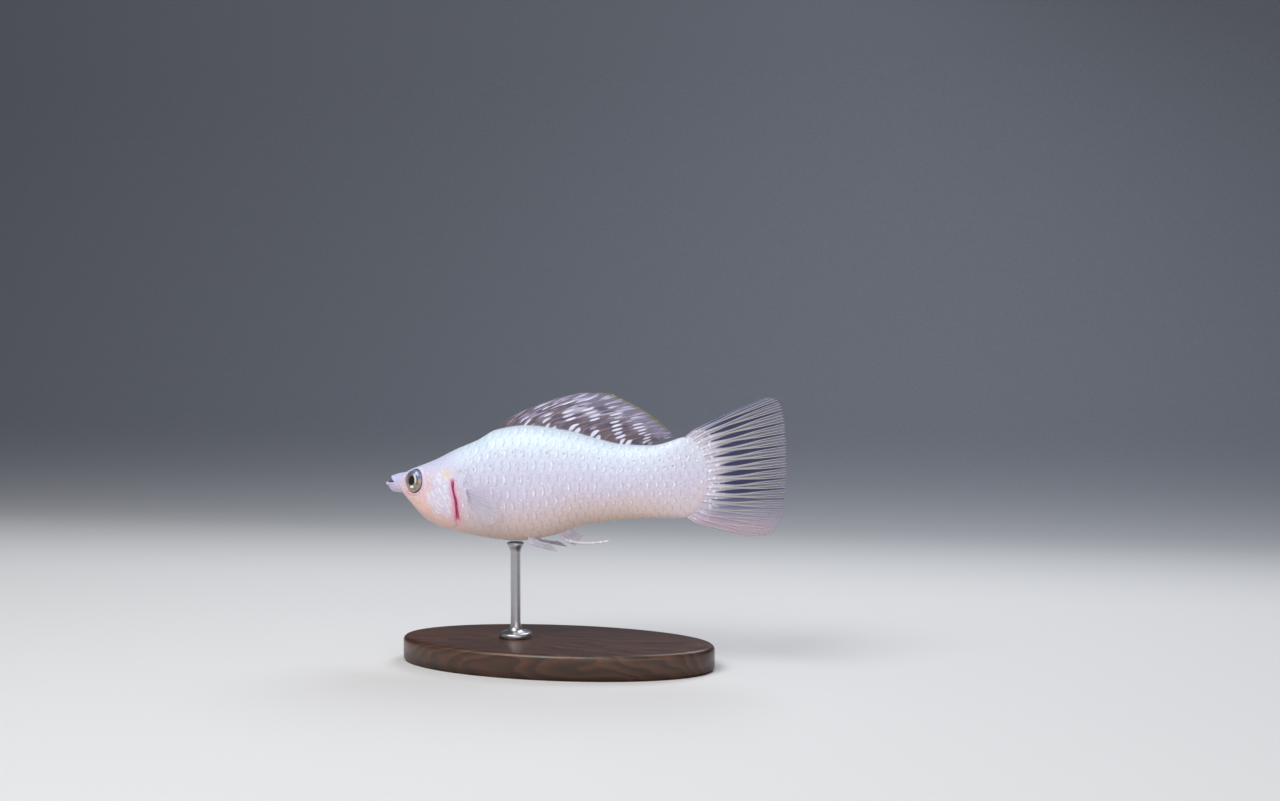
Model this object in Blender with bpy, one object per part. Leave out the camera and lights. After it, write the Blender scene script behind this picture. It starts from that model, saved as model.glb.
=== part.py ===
"""Sailfin molly, life size, as a still model on a plain display stand.

The fish is drawn in its own frame, in millimetres: the tip of the lower jaw is at x = 0, the tail
is towards +x, the body's axis is at z = 0 and the fish's left side faces -y. settle() then bends
the body a little, turns millimetres into metres and lifts the fish over the middle of the floor.
"""

import math

import bpy
import bmesh
from mathutils import Matrix, Vector

# Driving dimensions, in millimetres
LENGTH = 100.0
AXIS_HEIGHT = 45.0
SNOUT_X = 2.0
SNOUT_ROUND = 1.1
TAIL_X = 81.4
TAIL_Z = 0.75
TAIL_ROUND = 6.9
GAP = 0.3
BEND_START = 34.0
BEND_TIP = 2.4

# Profiles of the body, each a list of (x, value) for a smooth curve
BACK = ((2.0, 0.6), (3.7, 1.0), (5.6, 1.35), (7.0, 2.1), (8.6, 2.7), (13.2, 4.5), (18.5, 7.1),
        (24.4, 9.6), (29.0, 12.1), (36.6, 13.2), (46.6, 12.1), (54.0, 10.3), (60.7, 8.9),
        (67.6, 8.7), (75.7, 10.9), (81.4, 12.0))
BELLY = ((1.2, -3.2), (4.6, -4.2), (6.4, -5.9), (11.3, -10.7), (15.8, -12.7), (21.8, -14.1),
         (33.5, -15.3), (41.9, -14.1), (51.7, -10.9), (64.5, -9.2), (77.1, -8.9), (81.4, -9.3))
HALF_WIDTH = ((1.2, 2.6), (3.0, 3.1), (5.5, 3.7), (7.6, 4.3), (10.5, 5.0), (14.7, 5.9),
              (20.0, 6.6), (29.0, 7.0), (37.0, 6.8), (46.0, 6.0), (56.0, 4.8), (66.0, 3.6),
              (74.0, 2.4), (78.5, 1.3), (81.4, 0.8))
WIDEST_Z = ((1.2, -0.6), (7.6, -1.2), (20.0, -2.0), (34.0, -2.0), (50.0, -0.4), (65.0, 0.0),
            (81.4, 0.75))
SQUARENESS = ((1.2, 2.2), (7.6, 2.9), (14.0, 2.5), (25.0, 2.2), (81.4, 2.0))

# Where the head ends, at each angle in degrees from the back, down the side to the throat
GILL_LINE = ((0, 21.0), (45, 20.4), (73, 19.8), (88, 19.9), (106, 20.7), (131, 20.8), (150, 19.0),
             (180, 16.0))
VENT_X = 48.5
VENT_SLANT = 1.5

# Mouth and lower jaw
MOUTH_CORNER = (3.7, -1.2)
MOUTH_OPEN = 0.62
JAW_HINGE_X = 4.6
JAW_AXIS = ((0.0, -2.0), (4.6, -2.4))
JAW_BACK = ((0.0, -1.2), (1.5, -1.0), (4.6, -0.7))
JAW_BELLY = ((0.0, -2.7), (1.0, -3.6), (2.5, -4.0), (4.6, -4.15))
JAW_HALF_WIDTH = ((0.0, 1.7), (1.2, 2.5), (4.6, 3.35))
JAW_ROUND = 1.2
UPPER_LIP_X = 2.2
UPPER_LIP_Z = -0.12
LOWER_LIP_X = 0.45
LOWER_LIP_Z = -2.0
LOWER_LIP_CORNER = (3.3, -1.7)
LIP_RADIUS = 0.42
LIP_HALF_WIDTH = 2.35
LIP_POINTS = 13
NOSTRIL = (5.6, 2.6, 0.25)
NOSTRIL_RADIUS = 0.22
NOSTRIL_DEPTH = 0.7
NOSTRIL_RIM_RADIUS = 0.34
NOSTRIL_RIM_WIRE = 0.16
NOSTRIL_AXIS = (-0.3, 0.75, 0.65)

# Ends of the blocks that cut the mouth, clear of the head on each side
AHEAD_OF_JAW = -2.0
HEAD_TOP = 5.0
HEAD_FOOT = -9.0
HEAD_SIDE = 8.0

# Eyes
EYE_CENTRE = (9.3, 3.2, -0.85)
EYE_RADIUS = 2.85
EYE_NARROW = 0.86
EYE_DEPTH = 1.95
EYE_AXIS = (-0.27, 1.0, 0.16)
EYE_FULLNESS = 0.6
EYE_SEGMENTS = 24

# Gill covers and gills
COVER_TOP = 70
COVER_FOOT = 152
COVER_FRONT_X = 13.4
COVER_TAPER = 2.2
COVER_TIP_SHARE = 0.15
COVER_SLIT = 0.9
COVER_PROUD = 0.25
COVER_THICK = 0.85
COVER_ROOM = 0.54
COVER_CELLS = (8, 16)
PAST_SKIN = 1.6
DEGREES_A_MM = 4
CHAMBER_FRONT = 2.3
CHAMBER_LENGTH = 3.2
CHAMBER_MARGIN = 6
CHAMBER_OUT = 1.4
GILL_DEPTH = 2.4
GILL_MARGINS = (11, 20)
GILL_ARCH_RADIUS = 0.2
GILL_FILAMENTS = 12
GILL_FORWARD = 0.55
GILL_IN = 1.75
GILL_TIP = (0.4, 0.5)
FILAMENT_RADII = (0.2, 0.08)

# Fins: the number of rays in each, and half the thickness of web and rays
DORSAL_RAYS = 14
DORSAL_ROOT = (29.2, 67.4)
CAUDAL_RAYS = 16
CAUDAL_ARC = (5, 168)
PECTORAL_RAYS = 9
PECTORAL_ROOT = (22.3, -1.9)
PECTORAL_LENGTH = 12.5
PELVIC_RAYS = 6
PELVIC_ROOT_X = 36.4
PELVIC_LENGTH = 9.5
ANAL_RAYS = 6
ANAL_ROOT = (44.6, 48.0)
SHORT_RAY_LENGTH = 4.4
GONOPODIUM_LENGTH = 12.5
GONOPODIUM_DROP = 2.2
GONOPODIUM_RADIUS = 0.5
GONOPODIUM_STEPS = 12
GONOPODIUM_TAPER = 0.55
WEB_HALF = 0.25
RAY_HALF = 0.20
ROOT_HALF = 0.16
TIP_SHARE = 0.35
RAY_FLANK = 0.2
FORK_START = 0.5
FORK_SHARE = 0.6
WEB_REACH = 0.985

# Ends of the rays of the two large fins, each a list of (share across the fin, value)
DORSAL_TIPS_X = ((0, 38.6), (0.06, 45.6), (0.12, 51.2), (0.2, 56.4), (0.3, 60.6), (0.42, 64.4),
                 (0.55, 67.6), (0.7, 70.3), (0.85, 72.1), (1, 73.2))
DORSAL_TIPS_Z = ((0, 17.6), (0.06, 20.05), (0.12, 21.1), (0.2, 21.1), (0.3, 19.6), (0.42, 17.8),
                 (0.55, 16.0), (0.7, 14.0), (0.85, 12.3), (1, 10.6))
CAUDAL_TIPS_X = ((0, 92.0), (0.05, 95.6), (0.1, 98.0), (0.25, 99.5), (0.5, 100.0), (0.75, 99.5),
                 (0.88, 98.3), (0.95, 95.6), (1, 90.8))
CAUDAL_TIPS_Z = ((0, 19.0), (0.05, 20.3), (0.1, 19.4), (0.25, 13.6), (0.5, 3.7), (0.75, -5.4),
                 (0.88, -9.9), (0.95, -12.4), (1, -12.9))

# Stand
BASE_LENGTH = 78.0
BASE_WIDTH = 38.0
BASE_THICK = 6.0
BASE_BEVEL = 0.9
BASE_X = 44.0
ROD_X = 33.6
ROD_RADIUS = 1.2
FLANGE_RADIUS = 4.0
FLANGE_THICK = 1.4
CUP_LENGTH = 1.8
CUP_WIDER = 0.5

# Mesh density
AROUND = 30
MM = 0.001


def clear_scene():
    """Empty the scene, as the script may be run from the editor with objects in it."""
    for obj in list(bpy.data.objects):
        bpy.data.objects.remove(obj, do_unlink=True)


# Curves that give the body its form

def through(knots, x):
    """Value at x of a smooth curve through the (x, value) knots, with no overshoot between them."""
    if x <= knots[0][0]:
        return knots[0][1]
    if x >= knots[-1][0]:
        return knots[-1][1]
    steps = [b[0] - a[0] for a, b in zip(knots, knots[1:])]
    rises = [(b[1] - a[1]) / step for a, b, step in zip(knots, knots[1:], steps)]
    i = max(k for k in range(len(steps)) if x >= knots[k][0])

    def slope(k):
        if k == 0:
            return rises[0]
        if k == len(rises):
            return rises[-1]
        before, after = rises[k - 1], rises[k]
        return 0.0 if before * after <= 0 else 2 * before * after / (before + after)

    t = (x - knots[i][0]) / steps[i]
    start, end = knots[i][1], knots[i + 1][1]
    a, b = slope(i) * steps[i], slope(i + 1) * steps[i]
    return (start * (1 + 2 * t) * (1 - t) ** 2 + a * t * (1 - t) ** 2
            + end * (3 - 2 * t) * t ** 2 + b * t ** 2 * (t - 1))


def power(value, exponent):
    """A power that keeps the sign of its value."""
    return math.copysign(abs(value) ** exponent, value)


def rounding(x):
    """1 along the body, falling to 0 round the snout and round the end of the tail stem."""
    front = min(1.0, max(0.0, (SNOUT_X + SNOUT_ROUND - x) / SNOUT_ROUND))
    rear = min(1.0, max(0.0, (x - TAIL_X + TAIL_ROUND) / TAIL_ROUND))
    return math.sqrt(max(0.0, 1 - front ** 2) * max(0.0, 1 - rear ** 2))


def skin(x, angle, out=0.0):
    """Point on the body at x and an angle in degrees from the back's ridge, the left side first.

    out moves it off the skin, roughly square to it.
    """
    turn = math.radians(angle)
    shape = 2 / through(SQUARENESS, x)
    middle = through(WIDEST_Z, x)
    share = rounding(x)
    tall = through(BACK, x) - middle if math.cos(turn) > 0 else middle - through(BELLY, x)
    y = -(through(HALF_WIDTH, x) * math.sqrt(share) + out) * power(math.sin(turn), shape)
    z = middle + (tall * share + out) * power(math.cos(turn), shape)
    return Vector((x, y, z))


def angle_at(x, z):
    """Angle in degrees at which the left side of the body has this height."""
    low, high = 0.0, 180.0
    for _ in range(30):
        middle = (low + high) / 2
        low, high = (middle, high) if skin(x, middle).z > z else (low, middle)
    return low


def settle(point):
    """A point of the fish's frame, in millimetres, as a point of the row frame, in metres."""
    past = max(0.0, point.x - BEND_START) / (LENGTH - BEND_START)
    return Vector((point.x - LENGTH / 2, point.y + BEND_TIP * past ** 2, point.z + AXIS_HEIGHT)) * MM


def mirrored(values, side):
    """The vector with its y turned to one side: -1 is the fish's left and 1 its right."""
    return Vector((values[0], side * values[1], values[2]))


def reflect(obj, side):
    """Mirror a piece made on the left so that it sits on the right, when side is 1."""
    if side > 0:
        obj.data.transform(Matrix.Diagonal((1, -1, 1, 1)))
        obj.data.flip_normals()
    return obj


# Objects and Booleans

def material(name, colour, roughness, metallic=0.0):
    """A Principled material with one colour."""
    made = bpy.data.materials.new(name)
    made.use_nodes = True
    shader = made.node_tree.nodes["Principled BSDF"]
    shader.inputs["Base Color"].default_value = (*colour, 1)
    shader.inputs["Roughness"].default_value = roughness
    shader.inputs["Metallic"].default_value = metallic
    return made


def raw_object(name, bm):
    """A mesh object in the fish's millimetres, with its normals facing out."""
    bm.normal_update()
    bmesh.ops.recalc_face_normals(bm, faces=bm.faces[:])
    mesh = bpy.data.meshes.new(name)
    bm.to_mesh(mesh)
    bm.free()
    obj = bpy.data.objects.new(name, mesh)
    bpy.context.scene.collection.objects.link(obj)
    return obj


def combine(core, others, operation):
    """Apply one Boolean of the core with a collection of closed meshes, which are then removed."""
    group = bpy.data.collections.new(core.name + "_" + operation.lower())
    bpy.context.scene.collection.children.link(group)
    for other in others:
        bpy.context.scene.collection.objects.unlink(other)
        group.objects.link(other)
    modifier = core.modifiers.new("combine", "BOOLEAN")
    modifier.operation = operation
    modifier.operand_type = "COLLECTION"
    modifier.collection = group
    modifier.solver = "EXACT"
    graph = bpy.context.evaluated_depsgraph_get()
    mesh = bpy.data.meshes.new_from_object(core.evaluated_get(graph))
    core.modifiers.clear()
    core.data = mesh
    for other in others:
        bpy.data.objects.remove(other, do_unlink=True)
    bpy.data.collections.remove(group)
    keep_largest(core)


def keep_largest(obj):
    """Leave only the closed surface of the largest volume in the object's mesh."""
    bm = bmesh.new()
    bm.from_mesh(obj.data)
    bmesh.ops.remove_doubles(bm, verts=bm.verts[:], dist=0.0005)
    bmesh.ops.triangulate(bm, faces=bm.faces[:])
    left = set(bm.faces)
    shells = []
    while left:
        shell, front = set(), {left.pop()}
        while front:
            shell |= front
            front = {near for face in front for edge in face.edges for near in edge.link_faces} - shell
        left -= shell
        shells.append(shell)

    def volume(shell):
        return abs(sum(f.verts[0].co.dot(f.verts[1].co.cross(f.verts[2].co)) for f in shell))

    largest = max(shells, key=volume)
    bmesh.ops.delete(bm, geom=[f for f in bm.faces if f not in largest], context="FACES")
    bm.to_mesh(obj.data)
    bm.free()


def finish(obj, look, parent, root, smooth_below=40):
    """Set a raw object in the row frame, its origin at the root point, with its material."""
    origin = settle(Vector(root))
    mesh = obj.data
    for vertex in mesh.vertices:
        vertex.co = settle(vertex.co) - origin
    mesh.shade_smooth()
    mesh.set_sharp_from_angle(angle=math.radians(smooth_below))
    mesh.materials.clear()
    mesh.materials.append(look)
    obj.location = origin
    obj.parent = parent
    return obj


# Body lengths: head, trunk and tail stem

def body_length(name, first, last, rows, caps):
    """Closed length of the body between two lines across it.

    first and last give x at each angle, or are None at the snout or the tail's end. caps is the
    number of rows that close each cut end.
    """
    lead = caps if first else 0
    tail = caps if last else 0
    bm = bmesh.new()
    bmesh.ops.create_uvsphere(bm, u_segments=AROUND, v_segments=rows, radius=1)
    for vertex in bm.verts:
        row = round(math.degrees(math.acos(max(-1, min(1, vertex.co.z)))) / 180 * rows)
        angle = math.degrees(math.atan2(vertex.co.y, vertex.co.x)) % 360
        fold = min(angle, 360 - angle)
        along = min(1.0, max(0.0, (row - lead) / (rows - lead - tail)))
        if not first:
            along = 1 - math.cos(along * math.pi / 2)
        if not last:
            along = math.sin(along * math.pi / 2)
        start = first(fold) if first else SNOUT_X
        end = last(fold) if last else TAIL_X
        x = start + (end - start) * along
        inward = min(1.0, row / lead if lead else 1.0, (rows - row) / tail if tail else 1.0)
        heart = Vector((x, 0, through(WIDEST_Z, x)))
        if inward < 1:
            heart.x = (first if row < lead else last)(90)
        vertex.co = heart + (skin(x, angle) - heart) * inward
    return raw_object(name, bm)


def gill_line(angle):
    """x of the head's rear edge at this angle."""
    return through(GILL_LINE, angle)


def vent_line(angle):
    """x of the cut between trunk and tail stem at this angle."""
    return VENT_X - VENT_SLANT * math.cos(math.radians(angle))


def prism(name, outline, half_width):
    """Block with this (x, z) outline, as wide as 2 * half_width."""
    bm = bmesh.new()
    verts = [bm.verts.new((x, -half_width, z)) for x, z in outline]
    face = bm.faces.new(verts)
    made = bmesh.ops.extrude_face_region(bm, geom=[face])
    moved = [item for item in made["geom"] if isinstance(item, bmesh.types.BMVert)]
    bmesh.ops.translate(bm, verts=moved, vec=(0, 2 * half_width, 0))
    bmesh.ops.triangulate(bm, faces=bm.faces[:])
    return raw_object(name, bm)


def round_form(segments, radii, fullness=1.0):
    """Ellipsoid about +z as a bmesh. A fullness under 1 fills its shoulders out, towards a drum."""
    bm = bmesh.new()
    bmesh.ops.create_uvsphere(bm, u_segments=segments, v_segments=segments // 2, radius=1)
    for vertex in bm.verts:
        across = math.hypot(vertex.co.x, vertex.co.y)
        swell = across ** (fullness - 1) if across > 1e-6 else 1.0
        vertex.co.x *= swell * radii[0]
        vertex.co.y *= swell * radii[1]
        vertex.co.z = power(vertex.co.z, fullness) * radii[2]
    return bm


def cutter(name, centre, radii, axis, segments, fullness=1.0):
    """Round form with its third radius along the axis, to cut a hollow."""
    bm = round_form(segments, radii, fullness)
    turn = Vector((0, 0, 1)).rotation_difference(axis).to_matrix().to_4x4()
    bmesh.ops.transform(bm, matrix=Matrix.Translation(centre) @ turn, verts=bm.verts[:])
    return raw_object(name, bm)


def ring(name, centre, radius, wire, axis, segments, sides):
    """Torus about the axis: a small circle spun round it."""
    turn = Vector((0, 0, 1)).rotation_difference(Vector(axis)).to_matrix().to_4x4()
    bm = bmesh.new()
    place = Matrix.Translation((radius, 0, 0)) @ Matrix.Rotation(math.pi / 2, 4, "X")
    bmesh.ops.create_circle(bm, segments=sides, radius=wire, matrix=place)
    bmesh.ops.spin(bm, geom=bm.edges[:], cent=(0, 0, 0), axis=(0, 0, 1), angle=2 * math.pi,
                   steps=segments, use_merge=True)
    bmesh.ops.remove_doubles(bm, verts=bm.verts[:], dist=1e-4)
    bmesh.ops.transform(bm, matrix=Matrix.Translation(centre) @ turn, verts=bm.verts[:])
    return raw_object(name, bm)


def tube(name, points, radii):
    """Round bar along the points, with a radius at each and its ends closed, as a mesh."""
    curve = bpy.data.curves.new(name, "CURVE")
    curve.dimensions = "3D"
    curve.bevel_depth = 1.0
    curve.bevel_resolution = 2
    curve.use_fill_caps = True
    spline = curve.splines.new("POLY")
    spline.points.add(len(points) - 1)
    for point, place, radius in zip(spline.points, points, radii):
        point.co = (*place, 1)
        point.radius = radius
    obj = bpy.data.objects.new(name + "_curve", curve)
    bpy.context.scene.collection.objects.link(obj)
    graph = bpy.context.evaluated_depsgraph_get()
    bm = bmesh.new()
    bm.from_mesh(obj.evaluated_get(graph).to_mesh())
    bpy.data.objects.remove(obj, do_unlink=True)
    bmesh.ops.remove_doubles(bm, verts=bm.verts[:], dist=1e-4)
    return raw_object(name, bm)


def lip(name, front_x, corner, z):
    """Round lip from one corner of the mouth round the front to the other."""
    points = []
    for k in range(LIP_POINTS):
        turn = math.pi * k / (LIP_POINTS - 1)
        reach = math.sin(turn) ** 0.7
        x = corner[0] + (front_x - corner[0]) * reach
        height = corner[1] + (z - corner[1]) * min(1.0, 1.6 * reach)
        points.append((x, -LIP_HALF_WIDTH * math.cos(turn) * (1.18 - 0.18 * reach), height))
    radii = [LIP_RADIUS * 0.55] + [LIP_RADIUS] * (LIP_POINTS - 2) + [LIP_RADIUS * 0.55]
    return tube(name, points, radii)


def jaw_skin(x, angle):
    """Point on the lower jaw before it is cut along the mouth, as skin() is on the body."""
    turn = math.radians(angle)
    share = math.sqrt(max(0.0, 1 - max(0.0, (JAW_ROUND - x) / JAW_ROUND) ** 2))
    middle = through(JAW_AXIS, x)
    tall = through(JAW_BACK, x) - middle if math.cos(turn) > 0 else middle - through(JAW_BELLY, x)
    y = -through(JAW_HALF_WIDTH, x) * share * power(math.sin(turn), 0.85)
    return Vector((x, y, middle + tall * share * power(math.cos(turn), 0.85)))


def lower_jaw():
    """Lower jaw with its lip, in front of its hinge line and under the mouth line."""
    rows, caps = 14, 3
    bm = bmesh.new()
    bmesh.ops.create_uvsphere(bm, u_segments=24, v_segments=rows, radius=1)
    for vertex in bm.verts:
        row = round(math.degrees(math.acos(max(-1, min(1, vertex.co.z)))) / 180 * rows)
        angle = math.degrees(math.atan2(vertex.co.y, vertex.co.x)) % 360
        along = 1 - math.cos(min(1.0, row / (rows - caps)) * math.pi / 2)
        x = (JAW_HINGE_X - GAP) * along
        rim = min(1.0, (rows - row) / caps)
        heart = Vector((x, 0, through(JAW_AXIS, x)))
        vertex.co = heart + (jaw_skin(x, angle) - heart) * rim
    jaw = raw_object("lower_jaw", bm)
    combine(jaw, [lip("lower_lip", LOWER_LIP_X, LOWER_LIP_CORNER, LOWER_LIP_Z)], "UNION")
    corner_x, corner_z = MOUTH_CORNER
    edge_z = corner_z - GAP / 2
    outline = ((corner_x + 3, edge_z), (corner_x + 3, HEAD_TOP), (AHEAD_OF_JAW, HEAD_TOP),
               (AHEAD_OF_JAW, corner_z - MOUTH_OPEN), (corner_x, edge_z))
    combine(jaw, [prism("above_mouth", outline, HEAD_SIDE)], "DIFFERENCE")
    return jaw


def head():
    """Head up to the gill line: snout, upper lip, nostrils, eye sockets and gill chambers."""
    made = body_length("head", None, gill_line, 26, 3)
    additions = [lip("upper_lip", UPPER_LIP_X, MOUTH_CORNER, UPPER_LIP_Z)]
    for side in (-1, 1):
        additions.append(ring(f"nostril_rim_{side}", mirrored(NOSTRIL, side), NOSTRIL_RIM_RADIUS,
                              NOSTRIL_RIM_WIRE, mirrored(NOSTRIL_AXIS, side), 10, 5))
    combine(made, additions, "UNION")
    corner_x, corner_z = MOUTH_CORNER
    edge_z = corner_z + GAP / 2
    outline = ((AHEAD_OF_JAW, HEAD_FOOT), (AHEAD_OF_JAW, corner_z + MOUTH_OPEN), (corner_x, edge_z),
               (JAW_HINGE_X, edge_z), (JAW_HINGE_X, HEAD_FOOT))
    cutters = [prism("mouth_and_jaw", outline, HEAD_SIDE)]
    for side in (-1, 1):
        cutters.append(cutter(f"nostril_{side}", mirrored(NOSTRIL, side),
                              (NOSTRIL_RADIUS, NOSTRIL_RADIUS, NOSTRIL_DEPTH),
                              mirrored(NOSTRIL_AXIS, side), 10))
        room = EYE_RADIUS + GAP
        cutters.append(cutter(f"socket_{side}", mirrored(EYE_CENTRE, side),
                              (EYE_NARROW * EYE_RADIUS + GAP, room, EYE_DEPTH + GAP),
                              mirrored(EYE_AXIS, side), EYE_SEGMENTS, EYE_FULLNESS))
        cutters.append(cover_patch(f"cover_room_{side}", side, COVER_ROOM, COVER_THICK + GAP,
                                   PAST_SKIN, COVER_CELLS))
        cutters.append(gill_chamber(f"gill_room_{side}", side))
    combine(made, cutters, "DIFFERENCE")
    return made


# Gill covers and gills

def cover_place(across, down, grow):
    """(x, angle) on the gill cover at a share across it, from the front, and a share down it."""
    low, high = COVER_TOP - DEGREES_A_MM * grow, COVER_FOOT + DEGREES_A_MM * grow
    angle = low + (high - low) * down
    rear = gill_line(angle) - COVER_SLIT + grow
    front = COVER_FRONT_X - grow + COVER_TAPER * (2 * down - 1) ** 2
    middle = (front + rear) / 2
    narrow = max(COVER_TIP_SHARE, (1 - abs(2 * down - 1) ** 3.5) ** 0.5)
    return middle + (rear - front) * (across - 0.5) * narrow, angle


def cover_patch(name, side, grow, deep, proud, cells):
    """Curved plate on the side of the head: from deep under the skin to proud of it."""
    bm = bmesh.new()
    bmesh.ops.create_grid(bm, x_segments=cells[0], y_segments=cells[1], size=0.5)
    spots = {v: cover_place(v.co.x + 0.5, v.co.y + 0.5, grow) for v in bm.verts}
    bmesh.ops.triangulate(bm, faces=bm.faces[:], quad_method="FIXED")
    inner = {v: skin(*spots[v], out=-deep) for v in bm.verts}
    outer = {v: skin(*spots[v], out=proud) for v in bm.verts}
    thicken(bm, inner, outer)
    return reflect(raw_object(name, bm), side)


def thicken(bm, inner, outer):
    """Turn a sheet into a closed plate whose two faces have the same triangles."""
    before = set(bm.verts)
    order = list(bm.verts)
    made = bmesh.ops.extrude_face_region(bm, geom=bm.faces[:])
    moved = [item for item in made["geom"] if isinstance(item, bmesh.types.BMVert)]
    at = {tuple(round(c, 6) for c in v.co): v for v in order}
    for vertex in moved:
        vertex.co = outer[at[tuple(round(c, 6) for c in vertex.co)]]
    for vertex in before:
        vertex.co = inner[vertex]


def gill_chamber(name, side):
    """Room for the gills, open to the outside along the slit behind the gill cover."""
    bm = bmesh.new()
    bmesh.ops.create_grid(bm, x_segments=3, y_segments=14, size=0.5)
    inner, outer = {}, {}
    for vertex in bm.verts:
        spread = COVER_FOOT - COVER_TOP - 2 * CHAMBER_MARGIN
        angle = COVER_TOP + CHAMBER_MARGIN + spread * (vertex.co.y + 0.5)
        x = gill_line(angle) - CHAMBER_FRONT + CHAMBER_LENGTH * (vertex.co.x + 0.5)
        inner[vertex] = skin(x, angle, out=-GILL_DEPTH)
        outer[vertex] = skin(x, angle, out=CHAMBER_OUT)
    bmesh.ops.triangulate(bm, faces=bm.faces[:], quad_method="FIXED")
    thicken(bm, inner, outer)
    return reflect(raw_object(name, bm), side)


def gills(name, side):
    """Gill arch with its row of filaments, in the slit behind the gill cover."""
    low, high = COVER_TOP + GILL_MARGINS[0], COVER_FOOT - GILL_MARGINS[1]
    spread = [low + (high - low) * k / GILL_FILAMENTS for k in range(GILL_FILAMENTS + 1)]
    arch_points = [skin(gill_line(a) - GILL_FORWARD, a, out=-GILL_IN) for a in spread]
    arch = tube(name, arch_points, [GILL_ARCH_RADIUS] * len(arch_points))
    filaments = []
    for k in range(GILL_FILAMENTS):
        angle = (spread[k] + spread[k + 1]) / 2
        foot = skin(gill_line(angle) - GILL_FORWARD, angle, out=-GILL_IN)
        tip = skin(gill_line(angle) - GILL_TIP[0], angle, out=-GILL_TIP[1])
        run = tip - foot
        bm = bmesh.new()
        bmesh.ops.create_cone(bm, segments=5, radius1=FILAMENT_RADII[0], radius2=FILAMENT_RADII[1],
                              depth=run.length, cap_ends=True, cap_tris=True)
        turn = Vector((0, 0, 1)).rotation_difference(run).to_matrix().to_4x4()
        bmesh.ops.transform(bm, matrix=Matrix.Translation((foot + tip) / 2) @ turn, verts=bm.verts[:])
        filaments.append(raw_object(f"{name}_filament_{k}", bm))
    combine(arch, filaments, "UNION")
    return reflect(arch, side)


# Eyes

def eye_mesh():
    """Eyeball with +z out: an upright oval with full shoulders, close to its socket's rim."""
    radii = (EYE_NARROW * EYE_RADIUS, EYE_RADIUS, EYE_DEPTH)
    bm = round_form(EYE_SEGMENTS, radii, EYE_FULLNESS)
    bmesh.ops.scale(bm, vec=(MM, MM, MM), verts=bm.verts[:])
    mesh = bpy.data.meshes.new("eyeball")
    bm.to_mesh(mesh)
    bm.free()
    mesh.shade_smooth()
    return mesh


def eyes(look, parent):
    """Both eyeballs, sharing one mesh, each placed by its own location and rotation."""
    mesh = eye_mesh()
    mesh.materials.append(look)
    for name, side in (("eye_left", -1), ("eye_right", 1)):
        obj = bpy.data.objects.new(name, mesh)
        bpy.context.scene.collection.objects.link(obj)
        obj.location = settle(mirrored(EYE_CENTRE, side))
        axis = mirrored(EYE_AXIS, side)
        obj.rotation_euler = Vector((0, 0, 1)).rotation_difference(axis).to_euler()
        obj.parent = parent


# Fins

def fin(name, rays, rows, root, bow, tip, forked=False):
    """Closed fin whose rays are ridges raised in both of its faces.

    root, bow and tip give a point for a share c across the fin, and each ray is the curve from
    root to tip that bends towards bow.
    """
    steps = (0.0, RAY_FLANK, 0.5, 1 - RAY_FLANK) if forked else (0.0, RAY_FLANK, 1 - RAY_FLANK)
    shares = [(k + s) / (rays - 1) for k in range(rays - 1) for s in steps] + [1.0]
    bm = bmesh.new()
    bmesh.ops.create_grid(bm, x_segments=len(shares) - 1, y_segments=rows, size=0.5)
    spot = {}
    for vertex in bm.verts:
        column = round((vertex.co.x + 0.5) * (len(shares) - 1))
        t = vertex.co.y + 0.5
        c = shares[column]
        on_ray = column % len(steps) == 0
        at_edge = column in (0, len(shares) - 1)
        if not on_ray:
            t *= WEB_REACH
        forks = forked and not at_edge and t > FORK_START
        flank = column % len(steps) in (1, len(steps) - 1)
        raised = flank if forks else on_ray
        half = WEB_HALF + ROOT_HALF * (1 - t) ** 2
        if raised:
            half += RAY_HALF * (FORK_SHARE if forks else 1.0)
        spot[vertex] = (c, t, half * (1 - (1 - TIP_SHARE) * t ** 4))
    places = {v: (root(c) * (1 - t) ** 2 + bow(c) * 2 * t * (1 - t) + tip(c) * t ** 2)
              for v, (c, t, _) in spot.items()}
    flat = {v: v.co.copy() for v in bm.verts}
    for vertex, place in places.items():
        vertex.co = place
    bmesh.ops.triangulate(bm, faces=bm.faces[:], quad_method="FIXED")
    bm.normal_update()
    normals = {v: v.normal.copy() for v in bm.verts}
    for vertex, co in flat.items():
        vertex.co = co
    inner = {v: places[v] - normals[v] * spot[v][2] for v in places}
    outer = {v: places[v] + normals[v] * spot[v][2] for v in places}
    thicken(bm, inner, outer)
    return raw_object(name, bm)


def dorsal_fin():
    """The sail, laid back along the body as in the photo."""
    start, end = DORSAL_ROOT

    def root(c):
        x = start + (end - start) * c
        return Vector((x, 0, skin(x, 0).z + GAP + 0.05))

    def tip(c):
        wave = 0.9 * math.sin(5.0 * c + 0.4)
        return Vector((through(DORSAL_TIPS_X, c), wave, through(DORSAL_TIPS_Z, c)))

    def bow(c):
        lift = 0.8 * (1 - c) + 0.3
        return (root(c) + tip(c)) / 2 + Vector((-0.4, -0.35 * math.sin(6.0 * c), lift))

    return fin("dorsal_fin", DORSAL_RAYS, 6, root, bow, tip)


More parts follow.
